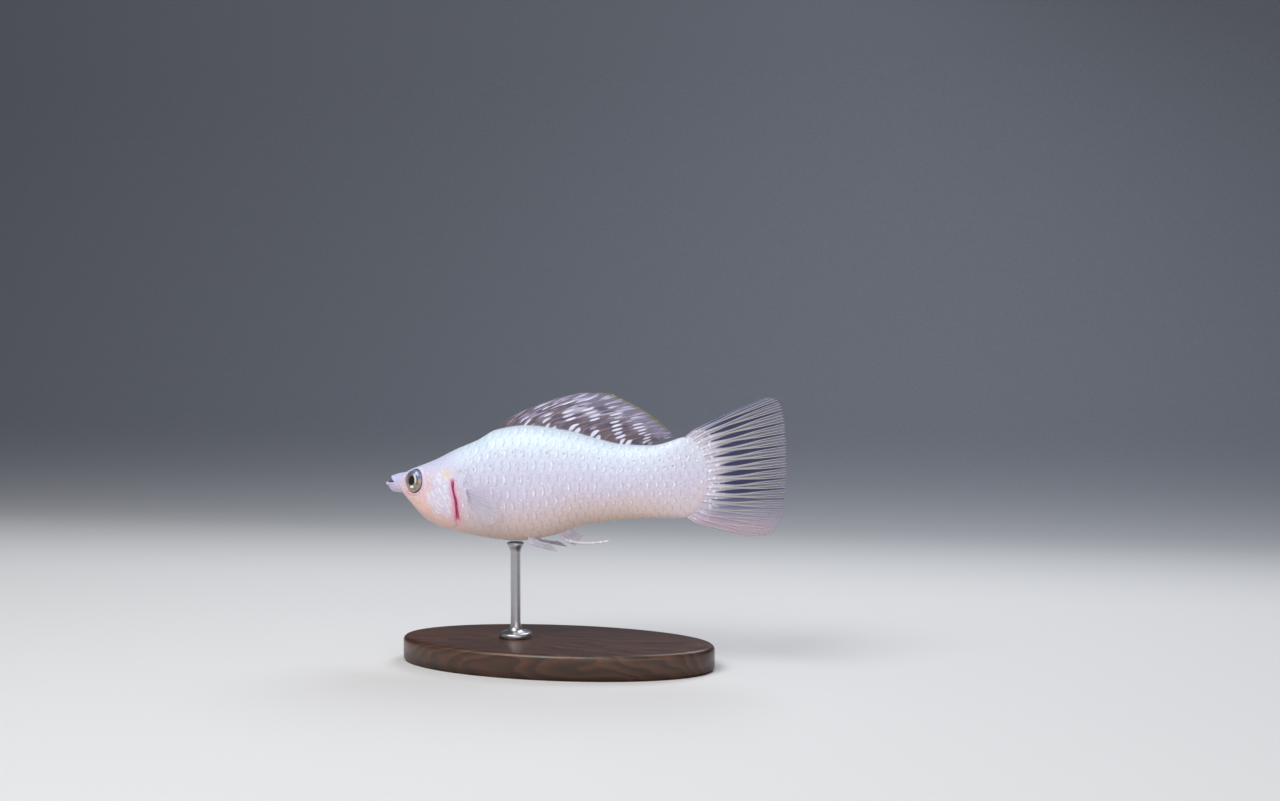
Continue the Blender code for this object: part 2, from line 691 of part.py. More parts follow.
def caudal_fin():
    """Tail fin, a broad fan with rounded corners on the end of the tail stem."""
    centre_x = TAIL_X - TAIL_ROUND
    start, end = CAUDAL_ARC

    def root(c):
        turn = math.radians(start + (end - start) * c)
        x = centre_x + TAIL_ROUND * math.sin(turn)
        tall = (through(BACK, x) if math.cos(turn) > 0 else through(BELLY, x)) - TAIL_Z
        z = TAIL_Z + abs(tall) * math.cos(turn)
        away = Vector((math.sin(turn), 0, math.cos(turn) * TAIL_ROUND / abs(tall))).normalized()
        return Vector((x, 0, z)) + away * GAP

    def tip(c):
        wave = 0.5 * math.sin(7.0 * c)
        return Vector((through(CAUDAL_TIPS_X, c), wave, through(CAUDAL_TIPS_Z, c)))

    def bow(c):
        rise = 0.5 * math.cos(math.pi * c)
        return (root(c) + tip(c)) / 2 + Vector((0, 0.3 * math.sin(9.0 * c), rise))

    return fin("caudal_fin", CAUDAL_RAYS, 6, root, bow, tip, forked=True)


def pectoral_fin(name, side):
    """Paddle behind the gill cover, swept back and a little away from the flank."""
    root_x, root_z = PECTORAL_ROOT

    def root(c):
        x = root_x + 1.1 * c
        return skin(x, angle_at(x, root_z - 3.6 * c), out=GAP + 0.58)

    def tip(c):
        long = PECTORAL_LENGTH * (1 - 0.42 * abs(2 * c - 0.85) ** 2.2)
        aim = Vector((1.0 - 0.25 * c, -0.34 - 0.10 * c, -0.10 - 0.62 * c)).normalized()
        return root(c) + aim * long

    def bow(c):
        return (root(c) + tip(c)) / 2 + Vector((0, -0.8, 0.25))

    return reflect(fin(name, PECTORAL_RAYS, 6, root, bow, tip), side)


def pelvic_fin(name, side):
    """Short pointed fin under the belly."""

    def root(c):
        return skin(PELVIC_ROOT_X + 2.3 * c, 158 + 6 * c, out=GAP + 0.38)

    def tip(c):
        long = PELVIC_LENGTH * (1 - 0.5 * c)
        return root(c) + Vector((0.93, -0.16, -0.22 + 0.12 * c)).normalized() * long

    def bow(c):
        return (root(c) + tip(c)) / 2 + Vector((0, -0.2, -0.4))

    return reflect(fin(name, PELVIC_RAYS, 5, root, bow, tip), side)


def anal_fin():
    """Male's anal fin: short rays behind a gonopodium, the rod into which the first rays fuse."""
    start, end = ANAL_ROOT

    def root(c):
        x = start + (end - start) * c
        return Vector((x, 0, skin(x, 180).z - GAP - 0.05))

    def tip(c):
        aim = Vector((0.86, 0, -0.50 + 0.2 * c)).normalized()
        return root(c) + aim * SHORT_RAY_LENGTH * (1.1 - 0.4 * c)

    def bow(c):
        return (root(c) + tip(c)) / 2 - Vector((0, 0, 0.5))

    made = fin("anal_fin", ANAL_RAYS, 5, root, bow, tip)
    heel = root(0) + Vector((0.4, 0, -0.35))
    point = heel + Vector((GONOPODIUM_LENGTH, 0, -0.5))
    knee = (heel + point) / 2 - Vector((1.5, 0, GONOPODIUM_DROP))
    shares = [k / GONOPODIUM_STEPS for k in range(GONOPODIUM_STEPS + 1)]
    line = [heel * (1 - t) ** 2 + knee * 2 * t * (1 - t) + point * t ** 2 for t in shares]
    radii = [GONOPODIUM_RADIUS * (1 - GONOPODIUM_TAPER * t) for t in shares]
    rod = tube("gonopodium", line, radii)
    combine(made, [rod], "UNION")
    return made


# Stand

def stand_base(look, parent):
    """Oval plate with rounded edges."""
    bm = bmesh.new()
    bmesh.ops.create_cone(bm, segments=48, radius1=0.5, radius2=0.5, depth=1, cap_ends=True)
    bmesh.ops.scale(bm, vec=(BASE_LENGTH, BASE_WIDTH, BASE_THICK), verts=bm.verts[:])
    bmesh.ops.scale(bm, vec=(MM, MM, MM), verts=bm.verts[:])
    mesh = bpy.data.meshes.new("stand_base")
    bm.to_mesh(mesh)
    bm.free()
    obj = bpy.data.objects.new("stand_base", mesh)
    bpy.context.scene.collection.objects.link(obj)
    obj.location = ((BASE_X - LENGTH / 2) * MM, 0, BASE_THICK / 2 * MM)
    bevel = obj.modifiers.new("edge", "BEVEL")
    bevel.width = BASE_BEVEL * MM
    bevel.segments = 2
    bevel.limit_method = "ANGLE"
    mesh.materials.append(look)
    obj.parent = parent


def stand_rod(look, parent):
    """Turned rod with a flange at its foot and a small cup under the belly."""
    top = AXIS_HEIGHT + skin(ROD_X, 180).z - GAP
    foot = BASE_THICK + GAP
    profile = ((0, foot), (FLANGE_RADIUS, foot), (FLANGE_RADIUS, foot + FLANGE_THICK * 0.6),
               (FLANGE_RADIUS - 0.5, foot + FLANGE_THICK),
               (ROD_RADIUS + CUP_WIDER, foot + FLANGE_THICK + 0.2),
               (ROD_RADIUS, foot + FLANGE_THICK + 0.9), (ROD_RADIUS, top - CUP_LENGTH),
               (ROD_RADIUS + CUP_WIDER, top - CUP_LENGTH / 3), (ROD_RADIUS + CUP_WIDER, top), (0, top))
    bm = bmesh.new()
    points = [bm.verts.new((r, 0, z)) for r, z in profile]
    for a, b in zip(points, points[1:]):
        bm.edges.new((a, b))
    bmesh.ops.spin(bm, geom=bm.edges[:], cent=(0, 0, 0), axis=(0, 0, 1), angle=2 * math.pi,
                   steps=24, use_merge=True)
    bmesh.ops.remove_doubles(bm, verts=bm.verts[:], dist=1e-4)
    bmesh.ops.scale(bm, vec=(MM, MM, MM), verts=bm.verts[:])
    bmesh.ops.recalc_face_normals(bm, faces=bm.faces[:])
    mesh = bpy.data.meshes.new("stand_rod")
    bm.to_mesh(mesh)
    bm.free()
    mesh.shade_smooth()
    mesh.set_sharp_from_angle(angle=math.radians(35))
    obj = bpy.data.objects.new("stand_rod", mesh)
    bpy.context.scene.collection.objects.link(obj)
    obj.location = ((ROD_X - LENGTH / 2) * MM, 0, 0)
    mesh.materials.append(look)
    obj.parent = parent


def main():
    """Build every node of the model."""
    clear_scene()
    parent = bpy.data.objects.new("sailfin_molly", None)
    bpy.context.scene.collection.objects.link(parent)
    white = material("silver_white_skin", (0.80, 0.80, 0.86), 0.38)
    blush = material("blushed_head_skin", (0.82, 0.76, 0.78), 0.36)
    silver = material("gill_cover_silver", (0.78, 0.80, 0.86), 0.28, 0.15)
    red = material("gill_red", (0.55, 0.05, 0.10), 0.45)
    glossy = material("eye_dark", (0.05, 0.05, 0.07), 0.10)
    clear = material("clear_fin", (0.62, 0.64, 0.68), 0.40)
    sail = material("spotted_sail", (0.30, 0.25, 0.24), 0.45)
    walnut = material("dark_wood", (0.10, 0.055, 0.03), 0.45)
    steel = material("satin_steel", (0.62, 0.62, 0.63), 0.30, 1.0)

    finish(head(), blush, parent, (10, 0, 0))
    finish(lower_jaw(), blush, parent, (JAW_HINGE_X, 0, -2))
    eyes(glossy, parent)
    for label, side in (("left", -1), ("right", 1)):
        cover = cover_patch(f"gill_cover_{label}", side, 0.0, COVER_THICK, COVER_PROUD, COVER_CELLS)
        finish(cover, silver, parent, (14, side * 5.5, -3))
        finish(gills(f"gills_{label}", side), red, parent, (17, side * 5.0, -4))
    trunk = body_length("trunk", lambda a: gill_line(a) + GAP, vent_line, 22, 3)
    finish(trunk, white, parent, (33, 0, 0))
    stem = body_length("tail_stem", lambda a: vent_line(a) + GAP, None, 20, 3)
    finish(stem, white, parent, (VENT_X, 0, 0))
    finish(dorsal_fin(), sail, parent, (DORSAL_ROOT[0], 0, 13))
    finish(caudal_fin(), clear, parent, (TAIL_X, 0, TAIL_Z))
    finish(anal_fin(), clear, parent, (ANAL_ROOT[0], 0, -13.5))
    for label, side in (("left", -1), ("right", 1)):
        finish(pectoral_fin(f"pectoral_fin_{label}", side), clear, parent, (20.5, side * 6.6, -3))
        finish(pelvic_fin(f"pelvic_fin_{label}", side), clear, parent, (PELVIC_ROOT_X, side * 2, -15))
    stand_base(walnut, parent)
    stand_rod(steel, parent)


if __name__ == "__main__":
    main()
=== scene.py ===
"""Studio scene of a life-size sailfin molly, set on a plain display stand.

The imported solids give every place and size. This script lays a seamless skin with
overlapping scales over the body, rebuilds the fins, eyes and gills more finely, finishes
the stand, and sets the floor, the lights and the camera.

Lengths in the fish's own classes are millimetres: x runs from the lower jaw's tip towards
the tail, z up from the body's axis, and the fish's left side is at negative y. An angle
runs from the ridge of the back, at 0, down the left side, at 90, to the throat, at 180.
"""

import logging
import math
from bisect import bisect_right
from collections.abc import Callable, Sequence
from dataclasses import dataclass, field
from enum import Enum
from typing import ClassVar

import bmesh
import bpy
from mathutils import Matrix, Vector

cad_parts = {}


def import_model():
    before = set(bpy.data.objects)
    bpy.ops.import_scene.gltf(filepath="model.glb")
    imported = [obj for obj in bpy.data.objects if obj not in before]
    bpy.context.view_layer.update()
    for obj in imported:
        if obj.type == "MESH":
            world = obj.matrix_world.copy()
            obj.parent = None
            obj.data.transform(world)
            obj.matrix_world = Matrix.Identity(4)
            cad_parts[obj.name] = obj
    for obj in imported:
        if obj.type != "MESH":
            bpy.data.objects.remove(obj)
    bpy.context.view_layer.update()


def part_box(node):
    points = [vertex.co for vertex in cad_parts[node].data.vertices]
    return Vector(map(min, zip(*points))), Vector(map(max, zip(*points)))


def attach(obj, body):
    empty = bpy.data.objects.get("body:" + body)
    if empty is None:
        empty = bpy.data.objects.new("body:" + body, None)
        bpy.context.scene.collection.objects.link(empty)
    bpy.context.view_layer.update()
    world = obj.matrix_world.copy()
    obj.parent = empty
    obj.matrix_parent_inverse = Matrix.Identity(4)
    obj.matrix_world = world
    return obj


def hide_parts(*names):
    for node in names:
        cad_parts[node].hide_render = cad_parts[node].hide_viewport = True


MM = 0.001
BODY = "root"
LOG = logging.getLogger("molly")

# Each fork of a fin's ray: where it starts and ends on the way out, and its spread in rays.
FORKS = ((0.0, 0.74, 0.25), (0.22, 0.96, 0.125))

Colour = tuple[float, float, float]
Row = Callable[[float], tuple[Vector, Vector, Vector]]


class Side(Enum):
    """The two sides of the fish, as the sign of y."""

    LEFT = -1
    RIGHT = 1


class Curve:
    """Smooth curve through knots of place and value, which never overshoots them."""

    def __init__(self, *knots: tuple[float, float]) -> None:
        """Keep the knots and work out the slope at each.

        Args:
            *knots: pairs of place and value, in order of place.
        """
        self.places = [place for place, _ in knots]
        self.values = [value for _, value in knots]
        rises = [(b[1] - a[1]) / (b[0] - a[0]) for a, b in zip(knots, knots[1:])]
        inner = [0.0 if a * b <= 0 else 2 * a * b / (a + b) for a, b in zip(rises, rises[1:])]
        self.slopes = [rises[0], *inner, rises[-1]]

    def __call__(self, x: float) -> float:
        """Read the curve, which stays level beyond its ends.

        Args:
            x: the place to read.

        Returns:
            The curve's value there.
        """
        if x <= self.places[0]:
            return self.values[0]
        if x >= self.places[-1]:
            return self.values[-1]
        k = bisect_right(self.places, x) - 1
        step = self.places[k + 1] - self.places[k]
        t = (x - self.places[k]) / step
        a, b = self.slopes[k] * step, self.slopes[k + 1] * step
        return (self.values[k] * (1 + 2 * t) * (1 - t) ** 2 + a * t * (1 - t) ** 2
                + self.values[k + 1] * (3 - 2 * t) * t ** 2 + b * t ** 2 * (t - 1))

    def turned(self, count: int = 240) -> "Curve":
        """Curve from value back to place, for a curve that only rises.

        Args:
            count: how many knots the new curve has.

        Returns:
            The turned curve.
        """
        first, last = self.places[0], self.places[-1]
        places = [first + (last - first) * k / count for k in range(count + 1)]
        return Curve(*((self(place), place) for place in places))


def power(value: float, exponent: float) -> float:
    """Power that keeps the sign."""
    return math.copysign(abs(value) ** exponent, value)


def ease(value: float, low: float, high: float) -> float:
    """Smooth step from 0 at low to 1 at high."""
    t = min(1.0, max(0.0, (value - low) / (high - low)))
    return t * t * (3 - 2 * t)


def hump(value: float, middle: float, reach: float) -> float:
    """Bell curve of height 1 about the middle."""
    return math.exp(-((value - middle) / reach) ** 2)


def bent(start: Vector, middle: Vector, end: Vector, share: float) -> Vector:
    """Point at this share of a curve from start to end that leans to the middle point."""
    return start * (1 - share) ** 2 + middle * 2 * share * (1 - share) + end * share * share


def to_linear(colour: Colour) -> tuple[float, float, float, float]:
    """Turn a colour as seen on a screen, 0 to 1, into the shader's linear values."""
    return (*(c / 12.92 if c <= 0.04045 else ((c + 0.055) / 1.055) ** 2.4 for c in colour), 1.0)


@dataclass(frozen=True)
class Form:
    """The body's own shape, as the solids have it."""

    length: float = 100.0
    axis_height: float = 45.0
    snout_x: float = 2.0
    snout_round: float = 1.1
    tail_x: float = 81.4
    tail_z: float = 0.75
    tail_round: float = 6.9
    bend_start: float = 34.0
    bend_tip: float = 2.4
    back: Curve = Curve(
        (2.0, 0.6), (3.7, 1.0), (5.6, 1.35), (7.0, 2.1), (8.6, 2.7), (13.2, 4.5), (18.5, 7.1),
        (24.4, 9.6), (29.0, 12.1), (36.6, 13.2), (46.6, 12.1), (54.0, 10.3), (60.7, 8.9),
        (67.6, 8.7), (75.7, 10.9), (81.4, 12.0))
    belly: Curve = Curve(
        (1.2, -3.2), (4.6, -4.2), (6.4, -5.9), (11.3, -10.7), (15.8, -12.7), (21.8, -14.1),
        (33.5, -15.3), (41.9, -14.1), (51.7, -10.9), (64.5, -9.2), (77.1, -8.9), (81.4, -9.3))
    half_width: Curve = Curve(
        (1.2, 2.6), (3.0, 3.1), (5.5, 3.7), (7.6, 4.3), (10.5, 5.0), (14.7, 5.9), (20.0, 6.6),
        (29.0, 7.0), (37.0, 6.8), (46.0, 6.0), (56.0, 4.8), (66.0, 3.6), (74.0, 2.4), (78.5, 1.3),
        (81.4, 0.8))
    widest_z: Curve = Curve(
        (1.2, -0.6), (7.6, -1.2), (20.0, -2.0), (34.0, -2.0), (50.0, -0.4), (65.0, 0.0),
        (81.4, 0.75))
    squareness: Curve = Curve((1.2, 2.2), (7.6, 2.9), (14.0, 2.5), (25.0, 2.2), (81.4, 2.0))
    gill_line: Curve = Curve(
        (0, 21.0), (45, 20.4), (73, 19.8), (88, 19.9), (106, 20.7), (131, 20.8), (150, 19.0),
        (180, 16.0))
    jaw_belly: Curve = Curve((0.0, -2.7), (1.0, -3.6), (2.5, -4.0), (4.6, -4.17), (5.4, -4.8))
    jaw_width: Curve = Curve((0.0, 1.7), (1.2, 2.5), (4.6, 3.35), (7.6, 4.3))
    mouth_line: Curve = Curve((0.0, -2.1), (1.5, -2.0), (3.6, -1.45), (7.6, -1.2))
    snout_end: float = 7.6
    snout_blend: tuple[float, float] = (4.8, 7.5)
    jaw_end: float = 5.0
    jaw_angles: tuple[float, float] = (75, 105)
    scale_rows: int = 11
    scale_x: Curve = Curve(
        (-12.0, -15.5), (0.0, 11.0), (4.2, 20.0), (18.4, 50.0), (33.2, 80.6), (43.2, 101.0))
    arc: Curve = Curve(
        (0, 0.0), (20, 0.072), (40, 0.168), (60, 0.293), (80, 0.435), (90, 0.508), (100, 0.581),
        (120, 0.718), (140, 0.84), (160, 0.931), (180, 1.0))
    column_at: Curve = field(init=False)
    arc_back: Curve = field(init=False)

    def __post_init__(self) -> None:
        """Turn the two curves that are also read backwards."""
        object.__setattr__(self, "column_at", self.scale_x.turned())
        object.__setattr__(self, "arc_back", self.arc.turned())

    def rounding(self, x: float) -> float:
        """Share of the full section left near the snout and the tail root.

        Args:
            x: the place along the body.

        Returns:
            The share, 0 at either end and 1 between them.
        """
        front = min(1.0, max(0.0, (self.snout_x + self.snout_round - x) / self.snout_round))
        rear = min(1.0, max(0.0, (x - self.tail_x + self.tail_round) / self.tail_round))
        return math.sqrt(max(0.0, 1 - front ** 2) * max(0.0, 1 - rear ** 2))

    def section(self, sizes: tuple[float, float, float, float], x: float, angle: float,
                out: float) -> Vector:
        """Point of one rounded section.

        Args:
            sizes: half width, height above the middle, depth below it, the middle's z.
            x: the section's place.
            angle: the place round it, in degrees.
            out: distance outside the section.

        Returns:
            The point, on the left side for a positive angle.
        """
        wide, above, below, middle = sizes
        turn = math.radians(angle)
        shape = 2 / self.squareness(x)
        tall = above if math.cos(turn) > 0 else below
        y = -(wide + out) * power(math.sin(turn), shape)
        return Vector((x, y, middle + (tall + out) * power(math.cos(turn), shape)))

    def skin(self, x: float, angle: float, out: float = 0.0) -> Vector:
        """Point of the body's surface.

        Args:
            x: the place along the body.
            angle: the place round it, in degrees.
            out: distance outside the surface.

        Returns:
            The point, in the fish's millimetres.
        """
        share = self.rounding(x)
        middle = self.widest_z(x)
        sizes = (self.half_width(x) * math.sqrt(share),
                 (self.back(x) - middle) * share,
                 (middle - self.belly(x)) * share, middle)
        return self.section(sizes, x, angle, out)

    def snout(self, x: float, angle: float, out: float) -> Vector:
        """Point of the snout and the lower jaw, joined to the body's skin behind them.

        Args:
            x: the place along the body, ahead of the snout's end.
            angle: the place round it, in degrees.
            out: distance outside the surface.

        Returns:
            The point, in the fish's millimetres.
        """
        middle = self.mouth_line(x)
        low = ease(abs(angle), *self.jaw_angles)
        wide = (1 - low) * self.half_width(x) + low * self.jaw_width(x)
        deep = self.jaw_belly(x) if x < self.jaw_end else self.belly(x)
        front = self.section((wide, self.back(x) - middle, middle - deep, middle),
                             x, angle, out)
        return front.lerp(self.skin(x, angle, out), ease(x, *self.snout_blend))

    def gill_x(self, angle: float) -> float:
        """x of the trunk's front edge behind the gill slit, less the slit's own width."""
        return self.gill_line(abs(angle))

    def angle_at(self, x: float, z: float) -> float:
        """Angle on the left side where the skin is at this height.

        Args:
            x: the place along the body.
            z: the height over the axis.

        Returns:
            The angle, in degrees.
        """
        low, high = 0.0, 180.0
        for _ in range(40):
            middle = (low + high) / 2
            if self.skin(x, middle).z > z:
                low = middle
            else:
                high = middle
        return low

    def angle_of(self, share: float) -> float:
        """Angle at this share of the way round from the back to the belly, with its sign."""
        return math.copysign(self.arc_back(abs(share)), share)

    def bend(self, x: float) -> float:
        """How far the body's middle is bent to the fish's right at x."""
        past = max(0.0, x - self.bend_start) / (self.length - self.bend_start)
        return self.bend_tip * past ** 2

    def settle(self, point: Vector) -> Vector:
        """Bend the tail to the fish's right and move the point to the model's metres."""
        return Vector((point.x - self.length / 2, point.y + self.bend(point.x),
                       point.z + self.axis_height)) * MM

    def offset(self) -> Vector:
        """Step from the model's millimetres to the fish's own, ahead of the tail's bend."""
        return Vector((self.length / 2, 0, -self.axis_height))

    def marks(self, x: float, angle: float, wet: float = 0.0,
              painted_recess_shade: float = 0.0) -> tuple[Vector, Vector]:
        """Values that the skin's and the scales' colours are read from.

        Args:
            x: the place along the body.
            angle: the place round it, negative on the right side.
            wet: how much of the gills' and the mouth's red shows, 0 to 1.
            painted_recess_shade: how much painted shade darkens the place, 0 to 1, inside the mouth
                and the nostrils.

        Returns:
            Place on the body (share along, share round, wet) and place in the scale
            lattice (column, row, pit).
        """
        row = math.copysign(self.arc(abs(angle)), angle) * self.scale_rows
        return (Vector((x / self.length, abs(angle) / 180, wet)),
                Vector((self.column_at(x), row, painted_recess_shade)))


def layer_of(bm: bmesh.types.BMesh, name: str) -> bmesh.types.BMLayerItem:
    """Vector layer of the points, made when it is missing."""
    layers = bm.verts.layers.float_vector
    return layers.get(name) or layers.new(name)


def link_mesh(bm: bmesh.types.BMesh, name: str, finish: bpy.types.Material) -> bpy.types.Object:
    """Put a mesh into the scene as an object.

    Args:
        bm: the mesh, in the model's metres. It is freed.
        name: the object's name.
        finish: its material.

    Returns:
        The object.
    """
    mesh = bpy.data.meshes.new(name)
    bm.to_mesh(mesh)
    bm.free()
    mesh.materials.append(finish)
    obj = bpy.data.objects.new(name, mesh)
    bpy.context.scene.collection.objects.link(obj)
    return obj


def to_object(bm: bmesh.types.BMesh, name: str, finish: bpy.types.Material,
              nodes: Sequence[str] = (), smooth: bool = True) -> bpy.types.Object:
    """Turn a finished bmesh into an object of the model.

    Args:
        bm: the mesh, in the model's metres. It is freed.
        name: the object's name.
        finish: its material.
        nodes: the nodes of the solids that it stands for.
        smooth: whether its faces are shaded smooth.

    Returns:
        The object, which rides on the model's one body.
    """
    bm.normal_update()
    bmesh.ops.recalc_face_normals(bm, faces=bm.faces[:])
    for face in bm.faces:
        face.smooth = smooth
    obj = link_mesh(bm, name, finish)
    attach(obj, BODY)
    if nodes:
        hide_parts(*nodes)
    LOG.info("%s: %d faces", name, len(obj.data.polygons))
    return obj


def loft(rows: Sequence[Row], around: int) -> bmesh.types.BMesh:
    """Closed skin through rows of points, from one pole to the other.

    Args:
        rows: for each row, a function from an angle in degrees, -180 to 180, to the point,
            in metres, and the two vectors of its marks. The first and last are poles.
        around: how many points a row has.

    Returns:
        The mesh, with the marks in its layers.
    """
    bm = bmesh.new()
    last = len(rows) - 1
    bmesh.ops.create_uvsphere(bm, u_segments=around, v_segments=last, radius=1)
    form, lie = layer_of(bm, "form"), layer_of(bm, "lie")
    for vert in bm.verts:
        polar = math.acos(max(-1.0, min(1.0, vert.co.z)))
        angle = math.degrees(math.atan2(vert.co.y, vert.co.x))
        at = min(last, max(0, round(polar / math.pi * last)))
        vert.co, vert[form], vert[lie] = rows[at](0.0 if at in (0, last) else angle)
    return bm


def thicken(bm: bmesh.types.BMesh, half: Callable[[bmesh.types.BMVert], float]) -> None:
    """Turn an open sheet into a thin closed plate.

    Args:
        bm: the sheet, which is changed in place.
        half: half of the plate's thickness at a point, in metres.
    """
    bm.normal_update()
    offsets = {v.index: v.normal * half(v) for v in bm.verts}
    bm.verts.ensure_lookup_table()
    mark = bm.verts.layers.int.new("sheet")
    for vert in bm.verts:
        vert[mark] = vert.index
    sheet = set(bm.verts)
    made = bmesh.ops.extrude_face_region(bm, geom=bm.faces[:])
    for vert in sheet:
        vert.co -= offsets[vert[mark]]
    for vert in made["geom"]:
        if isinstance(vert, bmesh.types.BMVert):
            vert.co += offsets[vert[mark]]
    bm.verts.layers.int.remove(mark)


def operator(operation: str) -> Callable[..., "Sock"]:
    """Method of a socket that adds a Math node.

    Args:
        operation: what the node works out, from the socket and, where it needs one, a
            second value.

    Returns:
        The method.
    """
    def method(self: "Sock", other: "Sock | float" = 0.0) -> "Sock":
        """Result of the node."""
        return self.bench.math(operation, self, other)
    return method


class Sock:
    """A shader socket with arithmetic: each operator adds its Math node."""

    __add__ = __radd__ = operator("ADD")
    __sub__ = operator("SUBTRACT")
    __mul__ = __rmul__ = operator("MULTIPLY")
    __truediv__ = operator("DIVIDE")
    __pow__ = operator("POWER")
    __abs__ = operator("ABSOLUTE")
    fract = operator("FRACT")
    floor = operator("FLOOR")

    def __init__(self, bench: "Bench", socket: bpy.types.NodeSocket) -> None:
        """Keep the bench and the socket."""
        self.bench = bench
        self.socket = socket

    def __rsub__(self, other: "Sock | float") -> "Sock":
        """Difference from the other value."""
        return self.bench.math("SUBTRACT", other, self)

    def __neg__(self) -> "Sock":
        """Value with the other sign."""
        return self.bench.math("MULTIPLY", self, -1.0)

    def step(self, low: float, high: float) -> "Sock":
        """Smooth step from 0 at low to 1 at high, or from 1 down to 0 when high is lower.

        Args:
            low: the value where the step begins.
            high: the value where it ends.

        Returns:
            The step.
        """
        ends = (0.0, 1.0) if low < high else (1.0, 0.0)
        node = self.bench.node(
            "ShaderNodeMapRange", {"interpolation_type": "SMOOTHSTEP"},
            {"Value": self, "From Min": min(low, high), "From Max": max(low, high),
             "To Min": ends[0], "To Max": ends[1]})
        return Sock(self.bench, node.outputs["Result"])

    def hump(self, middle: float, reach: float) -> "Sock":
        """Smooth hump of height 1 about the middle."""
        return abs(self - middle).step(reach, 0.0)


class Bench:
    """One material's node tree and the calls that fill it."""

    def __init__(self, name: str) -> None:
        """Make the material with its empty surface shader.

        Args:
            name: the material's name.
        """
        self.material = bpy.data.materials.new(name)
        self.material.use_nodes = True
        self.tree = self.material.node_tree
        self.surface = next(n for n in self.tree.nodes if n.type == "BSDF_PRINCIPLED")

    def node(self, kind: str, settings: dict[str, object] | None = None,
             inputs: dict[str | int, object] | None = None) -> bpy.types.Node:
        """Add one node.

        Args:
            kind: the node's type.
            settings: its properties, set first. The entry stops fills a colour ramp.
            inputs: values or sockets for its inputs, by name or number.

        Returns:
            The node.
        """
        node = self.tree.nodes.new(kind)
        for key, value in (settings or {}).items():
            if key == "stops":
                self.fill_ramp(node, value)
            else:
                setattr(node, key, value)
        for key, value in (inputs or {}).items():
            self.feed(node.inputs[key], value)
        return node

    def fill_ramp(self, node: bpy.types.Node, stops: Sequence[tuple[float, Colour]]) -> None:
        """Set a colour ramp's stops.

        Args:
            node: the ramp.
            stops: pairs of place and screen colour.
        """
        elements = node.color_ramp.elements
        while len(elements) < len(stops):
            elements.new(1.0)
        for element, (place, colour) in zip(elements, stops):
            element.position = place
            element.color = to_linear(colour)

    def feed(self, socket: bpy.types.NodeSocket, value: object) -> None:
        """Link a socket, or set its own value.

        Args:
            socket: the socket to feed.
            value: another socket, or a plain value.
        """
        if isinstance(value, Sock):
            self.tree.links.new(value.socket, socket)
        else:
            socket.default_value = value

    def math(self, operation: str, first: "Sock | float", second: "Sock | float") -> Sock:
        """One Math node.

        Args:
            operation: what it works out.
            first: its first value.
            second: its second value.

        Returns:
            Its result.
        """
        node = self.node("ShaderNodeMath", {"operation": operation}, {0: first, 1: second})
        return Sock(self, node.outputs[0])

    def mix(self, share: "Sock | float", first: object, second: object) -> Sock:
        """Mix two colours.

        Args:
            share: how much of the second shows.
            first: a colour or a socket.
            second: a colour or a socket.

        Returns:
            The mixed colour.
        """
        tones = [c if isinstance(c, Sock) else to_linear(c) for c in (first, second)]
        node = self.node("ShaderNodeMix", {"data_type": "RGBA"},
                         {0: share, 6: tones[0], 7: tones[1]})
        return Sock(self, node.outputs[2])

    def ramp(self, value: Sock, stops: Sequence[tuple[float, Colour]]) -> Sock:
        """Colour read from stops of place and screen colour."""
        node = self.node("ShaderNodeValToRGB", {"stops": stops}, {0: value})
        return Sock(self, node.outputs[0])

    def attribute(self, name: str) -> Sock:
        """Vector attribute of the mesh."""
        node = self.node("ShaderNodeAttribute", {"attribute_name": name})
        return Sock(self, node.outputs["Vector"])

    def place(self) -> Sock:
        """Object coordinates, in metres."""
        return Sock(self, self.node("ShaderNodeTexCoord").outputs["Object"])

    def split(self, vector: Sock) -> tuple[Sock, Sock, Sock]:
        """The three numbers of a vector."""
        node = self.node("ShaderNodeSeparateXYZ", {}, {0: vector})
        return tuple(Sock(self, output) for output in node.outputs)

    def join(self, x: "Sock | float", y: "Sock | float", z: "Sock | float" = 0.0) -> Sock:
        """Vector of three numbers."""
        node = self.node("ShaderNodeCombineXYZ", {}, {0: x, 1: y, 2: z})
        return Sock(self, node.outputs[0])

    def stretch(self, vector: Sock, scale: tuple[float, float, float]) -> Sock:
        """Vector multiplied along each axis."""
        node = self.node("ShaderNodeVectorMath", {"operation": "MULTIPLY"}, {0: vector, 1: scale})
        return Sock(self, node.outputs[0])

    def turned(self, vector: Sock, angle: float) -> Sock:
        """Vector turned about the y axis by this angle, in radians."""
        node = self.node("ShaderNodeVectorRotate", {"rotation_type": "Y_AXIS"},
                         {"Vector": vector, "Angle": angle})
        return Sock(self, node.outputs[0])

    def noise(self, vector: Sock, scale: float, detail: float = 2.0) -> Sock:
        """Soft noise, 0 to 1, with features of about 1 / scale."""
        node = self.node("ShaderNodeTexNoise", {},
                         {"Vector": vector, "Scale": scale, "Detail": detail})
        return Sock(self, node.outputs[0])

    def streaks(self, vector: Sock, scale: tuple[float, float, float],
                detail: float = 2.0) -> Sock:
        """Soft noise, 0 to 1, with features of about 1 / scale along each axis."""
        return self.noise(self.stretch(vector, scale), 1.0, detail)

    def chance(self, vector: Sock) -> Sock:
        """Random number, 0 to 1, the same for the same vector."""
        node = self.node("ShaderNodeTexWhiteNoise", {"noise_dimensions": "3D"}, {"Vector": vector})
        return Sock(self, node.outputs["Value"])

    def bump(self, height: Sock, distance: float, strength: float = 1.0) -> Sock:
        """Normal from a height of 0 to 1 that stands for this distance, in metres."""
        node = self.node("ShaderNodeBump", {}, {"Height": height, "Distance": distance,
                                                "Strength": strength})
        return Sock(self, node.outputs[0])

